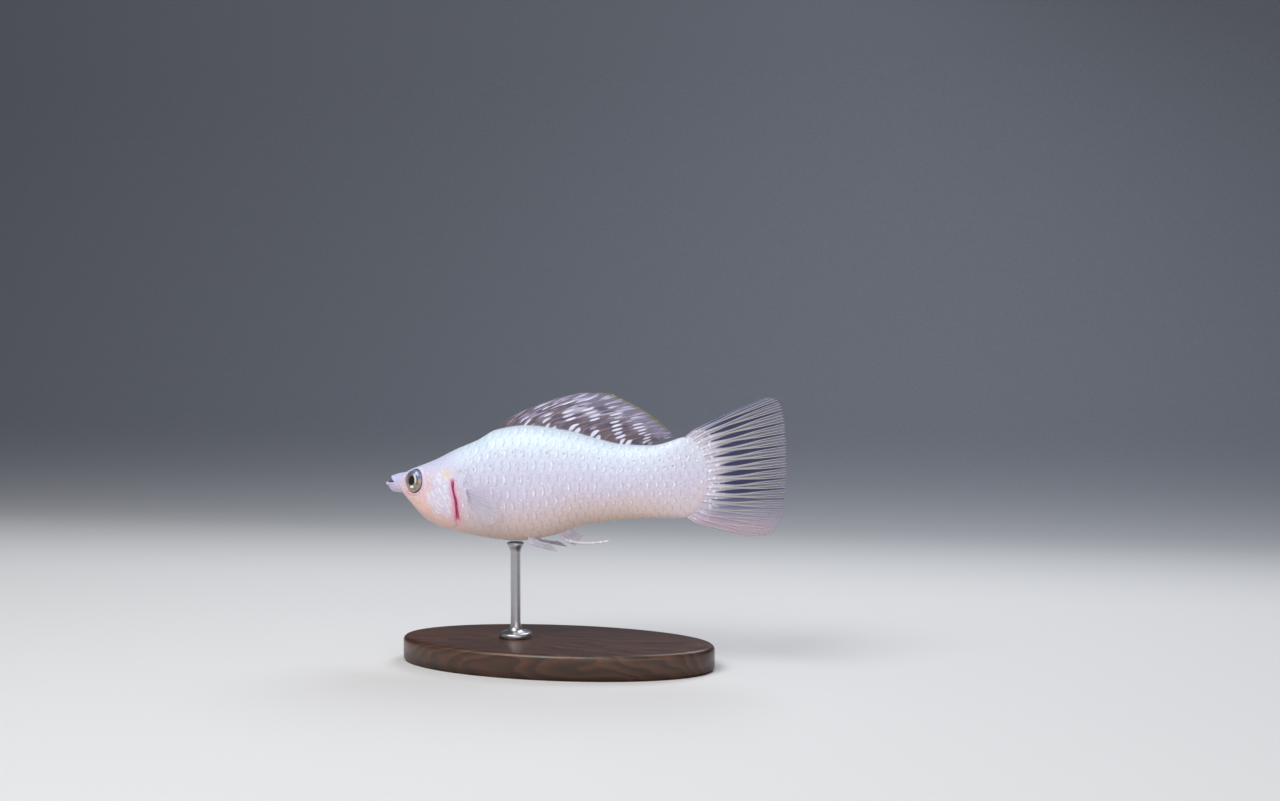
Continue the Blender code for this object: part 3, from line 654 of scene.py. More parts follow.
    def done(self, **sockets: object) -> bpy.types.Material:
        """Feed the surface shader, by socket names with _ for a space, and return the material.

        Args:
            **sockets: values or links, such as Base_Color.

        Returns:
            The material.
        """
        for name, value in sockets.items():
            self.feed(self.surface.inputs[name.replace("_", " ")], value)
        return self.material


@dataclass(frozen=True)
class Coat:
    """Pearly silver skin, shared by the bare skin and by the scales.

    Places are shares of the way along the body and of the way round it from the back.
    """

    back: Colour = (0.77, 0.83, 0.89)
    shoulder: Colour = (0.80, 0.87, 0.93)
    flank: Colour = (0.80, 0.80, 0.89)
    side: Colour = (0.80, 0.76, 0.84)
    low: Colour = (0.84, 0.75, 0.75)
    belly: Colour = (0.87, 0.76, 0.70)
    crown: Colour = (0.76, 0.76, 0.87)
    cheek: Colour = (0.86, 0.77, 0.83)
    throat: Colour = (0.89, 0.72, 0.67)
    cover: Colour = (0.78, 0.81, 0.93)
    # Painted sparkle: near-white streaks over the gill cover.
    painted_sparkle: Colour = (0.95, 0.96, 1.0)
    blush: Colour = (0.88, 0.60, 0.62)
    flush: Colour = (0.87, 0.56, 0.67)
    amber: Colour = (0.86, 0.79, 0.60)
    speck: Colour = (0.50, 0.44, 0.45)
    glint: Colour = (0.97, 0.99, 1.0)
    wet: Colour = (0.90, 0.38, 0.57)
    lip: Colour = (0.74, 0.75, 0.90)
    # Near black of the painted shade inside the mouth and the nostrils.
    dark: Colour = (0.12, 0.12, 0.26)
    dull: Colour = (0.56, 0.56, 0.68)
    outline: Colour = (0.52, 0.52, 0.62)
    face: tuple[float, float] = (0.235, 0.15)
    cover_at: tuple[float, float] = (0.164, 0.555)
    cover_reach: tuple[float, float] = (0.040, 0.180)
    slit_at: float = 0.206
    branch_at: float = 0.1985
    amber_at: tuple[float, float] = (0.180, 0.405)
    nape_at: tuple[float, float] = (0.222, 0.43)
    stem: tuple[float, float] = (0.62, 0.80)
    lips_at: tuple[float, float] = (0.080, 0.020)
    scales_from: tuple[float, float] = (0.20, 0.225)
    speck_rows: tuple[float, float] = (3.6, 2.6)

    def build(self, name: str, scaled: bool) -> bpy.types.Material:
        """Make the material.

        Args:
            name: the material's name.
            scaled: whether it is for the scale plates, which have their own relief.

        Returns:
            The material.
        """
        bench = Bench(name)
        place = bench.place()
        along, round_, wet = bench.split(bench.attribute("form"))
        column, row, painted_recess_shade = bench.split(bench.attribute("lie"))
        cloud = bench.noise(place, 160.0, 3.0)
        grain = bench.noise(place, 1500.0)
        height = round_ + (cloud - 0.5) * 0.10
        trunk = bench.ramp(height, ((0.0, self.back), (0.22, self.shoulder), (0.42, self.flank),
                                    (0.56, self.side), (0.68, self.low), (0.86, self.belly)))
        head = bench.ramp(height, ((0.0, self.crown), (0.30, self.crown), (0.46, self.cheek),
                                   (0.66, self.throat)))
        patchy = bench.noise(place, 330.0, 3.0)
        tone = bench.mix(along.step(*self.face), trunk, head)
        blot = ((along - self.cover_at[0]) / self.cover_reach[0]) ** 2.0 \
            + ((height - self.cover_at[1]) / self.cover_reach[1]) ** 2.0
        cover = (blot + (patchy - 0.5) * 1.5).step(1.15, 0.25)
        tone = bench.mix(cover * 0.55, tone, self.cover)
        # Painted sparkle: pale streaks over the gill cover, strongest on its patch.
        painted_sparkle = bench.streaks(bench.turned(place, 0.6), (2000.0, 2000.0, 620.0), 3.0)
        painted_sparkle = painted_sparkle.step(0.44, 0.66)
        tone = bench.mix(painted_sparkle * (blot + (patchy - 0.5)).step(1.4, 0.5) * 0.60, tone, self.painted_sparkle)
        tone = bench.mix(patchy.step(0.50, 0.68) * along.step(0.20, 0.10) * height.step(0.34, 0.5)
                         * 0.55, tone, self.blush)
        by_slit = along.hump(self.slit_at, 0.026) * height.step(0.46, 0.56) \
            * height.step(0.82, 0.70)
        tone = bench.mix(by_slit * 0.60, tone, self.flush)
        branch = abs(along - self.branch_at + (round_ - 0.60) * 0.085
                     + (patchy - 0.5) * 0.002) / 0.0016
        tone = bench.mix(branch.step(1.0, 0.2) * round_.step(0.60, 0.64) * round_.step(0.75, 0.70)
                         * 0.6, tone, self.wet)
        tone = bench.mix(along.hump(self.amber_at[0], 0.026) * height.hump(self.amber_at[1], 0.06)
                         * patchy.step(0.3, 0.6) * 0.75, tone, self.amber)
        tone = bench.mix(along.hump(self.nape_at[0], 0.035) * height.hump(self.nape_at[1], 0.10)
                         * bench.noise(place, 700.0).step(0.47, 0.66) * 0.6, tone, self.speck)
        tone = bench.mix(along.step(*self.stem) * 0.5, tone, self.side)
        tone = self.scale_marks(bench, tone, along, column, row, height)
        tone = bench.mix((grain - 0.5) * 0.30 + 0.08, tone, self.glint)
        dull = bench.streaks(place, (2600.0, 2600.0, 1500.0)).step(0.56, 0.72)
        tone = bench.mix(dull * along.step(0.10, 0.22) * 0.22, tone, self.dull)
        spark = bench.streaks(place, (3100.0, 3100.0, 1700.0)).step(0.57, 0.70)
        tone = bench.mix(spark * height.step(0.95, 0.5) * 0.45, tone, self.glint)
        tone = bench.mix(along.step(*self.lips_at) * 0.8, tone, self.lip)
        tone = bench.mix(wet, tone, self.wet)
        # Painted shade: the inside of the mouth and the nostrils go near black.
        tone = bench.mix(painted_recess_shade, tone, self.dark)
        pearl = bench.noise(place, 2600.0, 1.0).step(0.35, 0.75)
        relief = grain * 0.5 + bench.noise(place, 3400.0, 1.0) * 0.5
        return bench.done(Base_Color=tone, Metallic=pearl * 0.12 * (1.0 - wet),
                          Roughness=0.62 - pearl * 0.20 - wet * 0.25,
                          Coat_Weight=0.14, Coat_Roughness=0.28, IOR=1.42,
                          Normal=bench.bump(relief, 0.00004 if scaled else 0.00006, 0.6))

    def scale_marks(self, bench: Bench, tone: Sock, along: Sock, column: Sock, row: Sock,
                    height: Sock) -> Sock:
        """Add each scale's glint, its darker edge and the rows of specks.

        Args:
            bench: the material's bench.
            tone: the colour so far.
            along: share of the way along the body.
            column: place in the lattice along the body.
            row: place in the lattice round it.
            height: share of the way from the back to the belly.

        Returns:
            The colour with the marks.
        """
        level = (row + 0.5).floor()
        odd = (level * 0.5).fract()
        shifted = column - odd - 0.05
        ahead = shifted.fract()
        across = row - level
        cell = bench.join(shifted.floor(), level, 1.0)
        luck, other = bench.chance(cell), bench.chance(bench.join(level, shifted.floor(), 7.0))
        covered = along.step(*self.scales_from)
        rim = ahead + across * across * 1.12
        inner = abs(across).step(0.48, 0.22)
        tone = bench.mix(rim.step(0.80, 1.0) * inner * covered * 0.26, tone, self.outline)
        rough = bench.noise(bench.place(), 1300.0) - 0.5
        crescent = (abs(rim - 0.64 - (luck - 0.5) * 0.3) / 0.11 + abs(across) * 1.7
                    + rough * 2.6).step(1.05, 0.3)
        upper = height.step(0.82, 0.55) * (luck + height.step(0.50, 0.22) * 0.6).step(0.02, 0.75)
        tone = bench.mix(crescent * covered * upper * (0.35 + luck * 0.40), tone, self.glint)
        rows = level.hump(*self.speck_rows) + (-level).hump(*self.speck_rows)
        low = ((ahead - 0.60) / 0.17) ** 2.0 + ((across + 0.1) / 0.16) ** 2.0
        spot = (low + rough * 2.6).step(1.1, 0.2)
        return bench.mix(spot * rows * covered * other.step(0.20, 0.80) * 0.55, tone, self.speck)


@dataclass(frozen=True)
class Iris:
    """Eye: black pupil, bright silver ring, golden grey iris, and painted shade of grey-blue over
    its upper rear part.
    """

    pupil: float = 0.41
    ring: float = 0.56
    limb: float = 0.88
    ahead: float = 0.07
    golds: tuple[Colour, Colour] = ((0.40, 0.34, 0.28), (0.74, 0.63, 0.47))
    # Grey-blue of the iris's upper rear part, painted as shade.
    painted_shade_tones: tuple[Colour, Colour] = ((0.24, 0.27, 0.40), (0.47, 0.52, 0.70))
    silvers: tuple[Colour, Colour] = ((0.52, 0.48, 0.45), (0.99, 0.98, 0.96))
    haze: Colour = (0.62, 0.62, 0.70)
    edge: Colour = (0.17, 0.16, 0.24)
    black: Colour = (0.01, 0.01, 0.025)

    def build(self, name: str) -> bpy.types.Material:
        """Make the material.

        Args:
            name: the material's name.

        Returns:
            The material.
        """
        bench = Bench(name)
        ahead, up, _ = bench.split(bench.attribute("iris"))
        reach = (ahead * ahead + up * up) ** 0.5
        across = (ahead - self.ahead) * 1.10
        near = (across * across + up * up * 0.90) ** 0.5
        ray = bench.noise(bench.join(ahead / (reach + 0.01) * 3.0, up / (reach + 0.01) * 3.0,
                                     reach * 0.8), 3.0, 3.0)
        gold = bench.mix(ray.step(0.35, 0.68), *self.golds)
        # The upper rear part turns grey-blue: painted shade.
        painted_shade_tone = bench.mix(ray.step(0.3, 0.7), *self.painted_shade_tones)
        tone = bench.mix((up - ahead * 0.35).step(0.10, 0.55), gold, painted_shade_tone)
        light = bench.math("MAXIMUM", (up * 0.35 - ahead).step(0.12, 0.42),
                           (-up - abs(ahead) * 0.9).step(0.20, 0.42))
        silver = bench.mix(light, *self.silvers)
        band = (near + (ray - 0.5) * 0.08).step(self.ring + 0.09, self.ring)
        tone = bench.mix(band * (0.35 + light * 0.65), tone, silver)
        tone = bench.mix(reach.step(self.limb - 0.12, self.limb) * 0.6, tone, self.haze)
        tone = bench.mix(reach.step(self.limb + 0.03, 1.0), tone, self.edge)
        dark = near.step(self.pupil + 0.025, self.pupil - 0.02)
        tone = bench.mix(dark, tone, self.black)
        return bench.done(Base_Color=tone, Roughness=0.24 - dark * 0.14,
                          Metallic=(1.0 - dark) * 0.45 * reach.step(0.95, 0.7),
                          Coat_Weight=1.0, Coat_Roughness=0.03, IOR=1.38,
                          Normal=bench.bump(ray, 0.00003, 0.4))


@dataclass(frozen=True)
class Membrane:
    """See-through fin: pale jointed rays in a thin web."""

    ray: Colour = (0.68, 0.67, 0.66)
    web: Colour = (0.44, 0.44, 0.52)
    wedge: Colour = (0.17, 0.18, 0.33)
    pale_web: Colour = (0.62, 0.60, 0.72)
    upper: Colour = (0.55, 0.62, 0.85)
    lower: Colour = (0.90, 0.74, 0.78)
    root: Colour = (0.83, 0.80, 0.86)
    spark: Colour = (0.97, 0.98, 1.0)
    web_alpha: float = 0.62
    ray_alpha: float = 0.95
    ray_width: float = 0.12
    joints: float = 62.0

    def ray_share(self, near: Sock, out: Sock) -> Sock:
        """How much of a ray shows, 1 on its middle.

        Args:
            near: distance from the middle of the unforked ray, 0.5 half way to the next.
            out: share of the way from the root to the tip.

        Returns:
            The share.
        """
        for start, end, spread in FORKS:
            near = abs(near - out.step(start, end) * spread)
        return (near / (self.ray_width * (1.0 - out * 0.60))).step(1.0, 0.35)

    def build(self, name: str) -> bpy.types.Material:
        """Make the material.

        Args:
            name: the material's name.

        Returns:
            The material.
        """
        bench = Bench(name)
        place, out, across = bench.split(bench.attribute("ray"))
        near = abs((place + 0.5).fract() - 0.5)
        ray = self.ray_share(near, out)
        cloud = bench.noise(bench.place(), 260.0, 3.0)
        streak = bench.noise(bench.join(place * 3.4, out * 3.0), 1.0)
        edge = bench.mix(across.step(0.3, 0.7), self.upper, self.lower)
        rim = abs(across - 0.45).step(0.30, 0.55)
        tint = bench.mix(rim * 0.5, self.ray, edge)
        joint = (out * self.joints).fract().step(0.42, 0.10) * out.step(0.12, 0.30) \
            * out.step(0.90, 0.60)
        tint = bench.mix(joint * 0.38 + out.step(0.55, 1.0) * 0.30, tint, self.web)
        start = 0.43 - out.step(0.0, 0.40) * 0.22 + out.step(0.62, 1.10) * 0.16
        wedge = (near - start + (streak - 0.5) * 0.12).step(-0.02, 0.10) \
            * out.step(0.02, 0.15) * out.step(1.45, 0.80)
        pale = bench.math("MAXIMUM", out.step(0.80, 1.1) * 0.3, across.step(0.62, 0.85) * 0.85)
        band = (out + (streak - 0.5) * 0.20).step(0.56, 0.06)
        web = bench.mix(band * 0.85, self.web, self.root)
        web = bench.mix(pale, bench.mix(wedge, web, self.wedge), self.pale_web)
        web = bench.mix(rim * 0.45, web, edge)
        tone = bench.mix(ray, web, tint)
        solid = (out + (streak - 0.5) * 0.30 + (cloud - 0.5) * 0.06).step(0.21, -0.04)
        tone = bench.mix(solid, tone, self.root)
        spark = bench.noise(bench.place(), 1150.0).step(0.56, 0.64) * out.step(0.24, 0.05)
        tone = bench.mix(spark * 0.7, tone, self.spark)
        alpha = self.web_alpha * (1.0 + band * 0.35) + wedge * 0.22 + (cloud - 0.5) * 0.20 \
            - pale * 0.30
        alpha = alpha + (1.0 - alpha) * ray * (self.ray_alpha - out * 0.35)
        alpha = alpha + (1.0 - alpha) * solid
        relief = ray * (1.0 - joint * 0.3)
        return bench.done(Base_Color=tone, Alpha=alpha, Roughness=0.42 - ray * 0.08, IOR=1.4,
                          Coat_Weight=0.2, Coat_Roughness=0.2,
                          Normal=bench.bump(relief, 0.00008, 0.7))


@dataclass(frozen=True)
class Sail:
    """Back fin: dark web with rows of pale dashes, pale rays and a green upper edge."""

    dark: Colour = (0.36, 0.32, 0.39)
    brown: Colour = (0.45, 0.39, 0.42)
    smoke: Colour = (0.55, 0.52, 0.63)
    ray: Colour = (0.55, 0.51, 0.60)
    dash: Colour = (0.92, 0.92, 1.0)
    fringe: Colour = (0.42, 0.41, 0.24)
    tan: Colour = (0.47, 0.35, 0.27)
    line: Colour = (0.78, 0.77, 0.88)
    foot: Colour = (0.78, 0.82, 0.92)
    rays: int = 14
    period: float = 5.7
    slope: float = 0.30
    first: float = 60.75
    lanes: float = 1.6

    def dashes(self, bench: Bench, place: Sock, out: Sock, share: Sock, shift: Sock) -> Sock:
        """Pale dashes that lie along the rays and stand in slanting columns.

        Args:
            bench: the material's bench.
            place: place across the fin, counted in rays.
            out: share of the way out to the tip.
            share: place across the fin, 0 to 1.
            shift: soft noise that keeps them uneven.

        Returns:
            1 inside a dash.
        """
        x, _, z = bench.split(bench.place())
        lane = place * self.lanes
        cell = lane.floor()
        luck = bench.chance(bench.join(cell, 5.0, 3.0))
        x_mm, z_mm = x * (1 / MM) + Form.length / 2, z * (1 / MM) - Form.axis_height
        way = x_mm + z_mm * self.slope
        beat = (way - self.first) / self.period + (luck - 0.5) * 0.34 + (shift - 0.5) * 0.5
        size = bench.chance(bench.join(cell, beat.floor(), 9.0))
        long = 0.25 - share * 0.06 + size * 0.09
        wide = (0.36 - out * 0.20 + size * 0.06) * (share.step(0.0, 0.5) * 0.5 + 0.5)
        ahead = abs(beat.fract() - 0.5) / long
        aside = abs(lane.fract() - 0.5 + (shift - 0.5) * 0.3) / wide
        round_ = (ahead * ahead + aside * aside + (shift - 0.5) * 0.7).step(1.15, 0.35)
        return round_ * size.step(0.02, 0.25) * out.step(0.95, 0.70) * share.step(0.03, 0.14)

    def build(self, name: str) -> bpy.types.Material:
        """Make the material.

        Args:
            name: the material's name.

        Returns:
            The material.
        """
        bench = Bench(name)
        place, out, length = bench.split(bench.attribute("ray"))
        coord = bench.place()
        cloud = bench.noise(coord, 330.0, 3.0)
        fine = bench.noise(coord, 1500.0)
        share = place / (self.rays - 1.0)
        near = abs((place + 0.5).fract() - 0.5)
        near = abs(near - out.step(0.55, 0.95) * 0.16)
        ray = (near / (0.12 - out * 0.05)).step(1.0, 0.4)
        web = bench.mix(cloud.step(0.38, 0.62), self.dark, self.brown)
        web = bench.mix((out + (cloud - 0.5) * 0.5).step(0.45, 0.85) * 0.75, web, self.smoke)
        web = bench.mix(bench.noise(coord, 520.0).step(0.55, 0.7) * out.step(0.5, 0.2) * 0.5,
                        web, self.tan)
        tone = bench.mix(ray * (0.30 + out * 0.35), web, self.ray)
        along_rays = bench.noise(bench.join(place * 2.6, length * 0.16), 1.0)
        lines = along_rays.step(0.47, 0.62) * (share.step(0.65, 0.20) + out.step(0.35, 0.7) * 0.7) \
            * out.step(0.02, 0.2)
        tone = bench.mix(lines * 0.66, tone, self.line)
        dash = self.dashes(bench, place, out, share, cloud)
        tone = bench.mix(dash * 0.85, tone, self.dash)
        fringe = (out + (cloud - 0.5) * 0.10).step(0.91, 0.97) * share.step(0.10, 0.22) \
            * share.step(1.0, 0.72)
        tone = bench.mix(fringe * (0.35 + fine * 0.8), tone, self.fringe)
        tone = bench.mix((out + (cloud - 0.5) * 0.05).step(0.07, 0.01) * 0.7, tone, self.foot)
        alpha = 0.86 + ray * 0.10 + dash * 0.12 - out.step(0.5, 1.0) * 0.20 \
            - share.step(0.80, 1.0) * 0.25 + (cloud - 0.5) * 0.10 + fringe * 0.2
        return bench.done(Base_Color=tone, Alpha=alpha, Roughness=0.48 - dash * 0.12, IOR=1.4,
                          Coat_Weight=0.15, Coat_Roughness=0.25,
                          Normal=bench.bump(ray + fine * 0.2, 0.00008, 0.7))


@dataclass(frozen=True)
class GillRed:
    """Wet red gill filaments."""

    deep: Colour = (0.86, 0.34, 0.54)
    bright: Colour = (0.98, 0.60, 0.74)

    def build(self, name: str) -> bpy.types.Material:
        """Make the material.

        Args:
            name: the material's name.

        Returns:
            The material.
        """
        bench = Bench(name)
        fine = bench.noise(bench.place(), 2400.0)
        tone = bench.mix(fine.step(0.35, 0.65), self.deep, self.bright)
        return bench.done(Base_Color=tone, Roughness=0.30, Coat_Weight=0.6, Coat_Roughness=0.1,
                          Normal=bench.bump(fine, 0.00005, 0.5))


@dataclass(frozen=True)
class Walnut:
    """Dark oiled wood with its grain along the base."""

    light: Colour = (0.36, 0.22, 0.14)
    dark: Colour = (0.17, 0.10, 0.07)
    pore: Colour = (0.08, 0.05, 0.035)

    def build(self, name: str) -> bpy.types.Material:
        """Make the material.

        Args:
            name: the material's name.

        Returns:
            The material.
        """
        bench = Bench(name)
        place = bench.place()
        slow = bench.streaks(place, (22.0, 90.0, 90.0))
        _, y, z = bench.split(place)
        rings = (y * 340.0 + z * 160.0 + slow * 9.0).fract()
        band = rings.step(0.0, 0.75) * rings.step(1.0, 0.86)
        pores = bench.streaks(place, (260.0, 5200.0, 5200.0)).step(0.60, 0.74)
        tone = bench.mix(band * 0.6 + slow * 0.35, self.light, self.dark)
        tone = bench.mix(pores * 0.6, tone, self.pore)
        return bench.done(Base_Color=tone, Roughness=0.40 + pores * 0.25 - band * 0.05,
                          Coat_Weight=0.25, Coat_Roughness=0.25,
                          Normal=bench.bump(1.0 - pores, 0.00004, 0.5))


@dataclass(frozen=True)
class Steel:
    """Brushed stainless steel."""

    light: Colour = (0.76, 0.76, 0.77)
    dark: Colour = (0.58, 0.58, 0.60)

    def build(self, name: str) -> bpy.types.Material:
        """Make the material.

        Args:
            name: the material's name.

        Returns:
            The material.
        """
        bench = Bench(name)
        place = bench.place()
        lines = bench.streaks(place, (300.0, 300.0, 9000.0))
        cloud = bench.noise(place, 200.0)
        tone = bench.mix(lines * 0.5 + cloud * 0.2, self.light, self.dark)
        return bench.done(Base_Color=tone, Metallic=1.0, Roughness=0.24 + lines * 0.16,
                          Normal=bench.bump(lines, 0.00001, 0.5))


@dataclass(frozen=True)
class Paper:
    """Plain matt studio paper: a pale floor that turns to a quiet grey behind the model."""

    floor: Colour = (0.86, 0.86, 0.86)
    far: Colour = (0.34, 0.36, 0.40)
    fibre: Colour = (0.8, 0.8, 0.8)
    first: float = 0.10
    last: float = 0.40

    def build(self, name: str) -> bpy.types.Material:
        """Make the material.

        Args:
            name: the material's name.

        Returns:
            The material.
        """
        bench = Bench(name)
        place = bench.place()
        fibre = bench.noise(place, 900.0)
        _, y, _ = bench.split(place)
        tone = bench.mix(y.step(self.first, self.last), self.floor, self.far)
        tone = bench.mix((fibre - 0.5) * 0.08 + 0.04, tone, self.fibre)
        return bench.done(Base_Color=tone, Roughness=0.9)


@dataclass
class Eyes:
    """Both eyes, with the places of their sockets."""

    form: Form
    centre: tuple[float, float, float] = (9.3, 3.2, -0.85)
    radius: float = 2.85
    narrow: float = 0.86
    depth: float = 1.95
    axis: tuple[float, float, float] = (-0.27, 1.0, 0.16)
    fullness: float = 0.6
    rim: float = 0.17
    cornea: float = 0.16

    def frame(self) -> tuple[Vector, Vector, Vector]:
        """Directions of the eye on the positive y side: ahead, up and out of the socket."""
        axis = Vector(self.axis).normalized()
        ahead = Vector((-1, 0, 0))
        ahead = (ahead - axis * ahead.dot(axis)).normalized()
        up = ahead.cross(axis)
        return ahead, up if up.z > 0 else -up, axis

    def local(self, point: Vector) -> tuple[float, float]:
        """Place of a point about the nearer eye.

        Args:
            point: a point of the head, on either side.

        Returns:
            Its height along the eye's axis and its distance from it.
        """
        from_centre = Vector((point.x, abs(point.y), point.z)) - Vector(self.centre)
        ahead, up, axis = self.frame()
        reach = math.hypot(from_centre.dot(ahead) / self.narrow, from_centre.dot(up))
        return from_centre.dot(axis), reach

    def socket(self, point: Vector) -> Vector:
        """Press the socket and raise the rim round the eye.

        Args:
            point: a point of the skin.

        Returns:
            The moved point.
        """
        height, reach = self.local(point)
        if height < -1.0 or reach > self.radius + 1.5:
            return point
        bowl = ease(self.radius + 0.20 - reach, 0.0, 0.55) * 1.7
        ring = self.rim * hump(reach, self.radius + 0.42, 0.30)
        ditch = 0.10 * hump(reach, self.radius + 0.95, 0.25)
        axis = self.frame()[2]
        if point.y < 0:
            axis.y = -axis.y
        return point + axis * (ring - bowl - ditch)

    def build(self, side: Side, finish: bpy.types.Material) -> bpy.types.Object:
        """Make one eye.

        Args:
            side: the side of the head.
            finish: its material.

        Returns:
            The eye.
        """
        bm = bmesh.new()
        bmesh.ops.create_uvsphere(bm, u_segments=72, v_segments=56, radius=1)
        iris = layer_of(bm, "iris")
        for vert in bm.verts:
            across = math.hypot(vert.co.x, vert.co.y)
            swell = across ** (self.fullness - 1) if across > 1e-6 else 1.0
            x, y = vert.co.x * swell, vert.co.y * swell
            lens = self.cornea * hump(math.hypot(x, y), 0.0, 0.55) if vert.co.z > 0 else 0.0
            vert[iris] = Vector((x, y, vert.co.z))
            vert.co = Vector((x * self.radius * self.narrow, y * self.radius,
                              power(vert.co.z, self.fullness) * self.depth + lens))
        turn = Matrix(self.frame()).transposed()
        for vert in bm.verts:
            point = turn @ vert.co + Vector(self.centre)
            point.y *= side.value
            vert.co = self.form.settle(point)
        name = f"eye_{side.name.lower()}_ball"
        eye = to_object(bm, name, finish, [f"eye_{side.name.lower()}"])
        return eye


@dataclass
class Skin:
    """The fish's whole skin in one closed piece, from the mouth's lining to the tail root."""

    form: Form
    eyes: Eyes
    around: int = 160
    inset: float = 0.14
    throat_point: tuple[float, float, float] = (5.6, 0.0, -1.35)
    corner: tuple[float, float] = (3.4, -1.32)
    upper_lip: tuple[float, float] = (2.15, -0.24)
    lower_lip: tuple[float, float] = (0.55, -1.66)
    lip_radius: float = 0.50
    upper_swell: float = 0.12
    lip_half_width: float = 2.3
    nostril: tuple[float, float, float] = (5.5, 2.85, 0.35)
    gill_nominal: float = 19.9
    slit_middle: float = -0.17
    lips: tuple[int, int] = (3, 14)
    open_share: tuple[float, float] = (0.18, 0.40)
    face_end: float = 15.0
    flank_x: float = 30.0
    lip_step: float = 0.08
    roll_end: int = -16
    rolls: ClassVar[range] = range(205, -20, -22)
    snout_steps: int = 26
    cheek_steps: int = 42
    nape_steps: int = 22
    flank_steps: int = 64
    end_steps: int = 16
    slit: ClassVar[tuple[tuple[float, float, float], ...]] = (
        (-1.45, 0.06, 0.0), (-1.05, 0.12, 0.05), (-0.76, 0.11, 0.15), (-0.62, 0.02, 0.35),
        (-0.60, -0.14, 0.7), (-0.68, -0.42, 1.0), (-1.05, -0.85, 1.0), (-1.35, -1.70, 1.0),
        (-1.10, -2.40, 1.0), (-0.50, -2.55, 1.0), (0.10, -2.45, 1.0), (0.42, -1.80, 1.0),
        (0.34, -0.90, 1.0), (0.26, -0.26, 0.9), (0.34, -0.04, 0.45), (0.75, 0.0, 0.0))

    def lip_point(self, angle: float) -> Vector:
        """Middle of the lip's roll in this column.

        Args:
            angle: the column's angle, in degrees.

        Returns:
            The point.
        """
        turn = math.radians(angle)
        reach = abs(math.cos(turn)) ** 0.7
        front = self.upper_lip if math.cos(turn) > 0 else self.lower_lip
        x = self.corner[0] + (front[0] - self.corner[0]) * reach
        z = self.corner[1] + (front[1] - self.corner[1]) * min(1.0, 1.6 * reach)
        wide = self.lip_half_width * (1.18 - 0.18 * reach)
        return Vector((x, -wide * power(math.sin(turn), 0.9), z))

    def lip_ring(self, angle: float, roll: float) -> Vector:
        """Point of the lip's roll.

        Args:
            angle: the column's angle, in degrees.
            roll: 180 on the mouth's side, 90 in front, 0 outside.

        Returns:
            The point.
        """
        turn = math.radians(angle)
        outward = Vector((0.0, -math.sin(turn), 1.15 * math.cos(turn))).normalized()
        forward = Vector((-1.0, 0.0, 0.25))
        forward = (forward - outward * forward.dot(outward)).normalized()
        swell = self.upper_swell * ease(math.cos(turn), -0.1, 0.6)
        size = (self.lip_radius + swell) * (0.62 + 0.38 * abs(math.cos(turn)) ** 0.5)
        bend = math.radians(roll)
        return self.lip_point(angle) + size * (math.cos(bend) * outward + math.sin(bend) * forward)

    def relief(self, x: float, angle: float) -> float:
        """Height of the head's own relief over the plain surface.

        Args:
            x: the place along the body.
            angle: the place round it, without its sign.

        Returns:
            The height.
        """
        on_side = ease(angle, 68, 82) * (1 - ease(angle, 140, 158))
        rear = self.form.gill_x(angle)
        plate = 0.16 * ease(x, 13.2, 14.6) * (1 - ease(x, rear - 0.9, rear + 0.6)) * on_side
        fold = 13.1 + 1.1 * ((angle - 112) / 38) ** 2
        groove = -0.20 * hump(x, fold, 0.36) * on_side
        cheek = 0.16 * hump(x, 11.6, 1.5) * hump(angle, 122, 20)
        brow = 0.12 * hump(x, 9.0, 2.2) * hump(angle, 48, 14)
        crease = -0.10 * hump(x, rear + 0.1, 0.35) * ease(angle, 40, 75)
        chin = -0.12 * hump(angle, 150, 8) * hump(x, 9.5, 4.0)
        hinge = -0.12 * hump(x, 4.5 + 0.02 * (angle - 100), 0.55) * hump(angle, 118, 26)
        around = math.hypot((x - 9.3) / 3.8, (angle - 84) / 40)
        under_eye = -0.10 * hump(around, 1.0, 0.13) * ease(angle, 74, 92)
        bone = 0.09 * hump(x, 16.6 + 0.05 * (angle - 100), 0.7) * hump(angle, 106, 30)
        return plate + groove + cheek + brow + crease + chin + hinge + under_eye + bone

    def surface(self, x: float, angle: float, out: float = 0.0) -> Vector:
        """Point of the finished skin's surface.

        Args:
            x: the place along the body.
            angle: the place round it, with its sign.
            out: distance outside the plain surface.

        Returns:
            The point.
        """
        high = out - self.inset + self.relief(x, abs(angle))
        if x < self.form.snout_end:
            return self.form.snout(x, angle, high)
        return self.form.skin(x, angle, high)

    def mouth_rows(self) -> list[Row]:
        """Rows of the mouth's lining and of the lips.

        Returns:
            The rows, from the throat outwards.
        """
        heart = Vector(self.throat_point)

        def lining(share: float) -> Row:
            """Row this far from the throat to the lips."""
            def row(angle: float) -> tuple[Vector, Vector, Vector]:
                """Point and marks in this column."""
                point = heart.lerp(self.lip_ring(angle, self.rolls[0]), share ** 0.6)
                # The lining is darkened by painted shade inside the mouth.
                return (self.form.settle(point),
                        *self.form.marks(point.x, angle, 0.5 - 0.4 * share, 0.85))
            return row

        def roll(bend: float) -> Row:
            """Row of the lip's roll."""
            def row(angle: float) -> tuple[Vector, Vector, Vector]:
                """Point and marks in this column."""
                point = self.lip_ring(angle, bend)
                # Painted shade darkens the roll's inner side, towards the mouth.
                inner = ease(bend, 120, 190)
                return (self.form.settle(point),
                        *self.form.marks(point.x, angle, 0.1 * inner, 0.85 * inner))
            return row

        return ([lining(share) for share in (0.0, 0.25, 0.5, 0.75)]
                + [roll(bend) for bend in self.rolls])

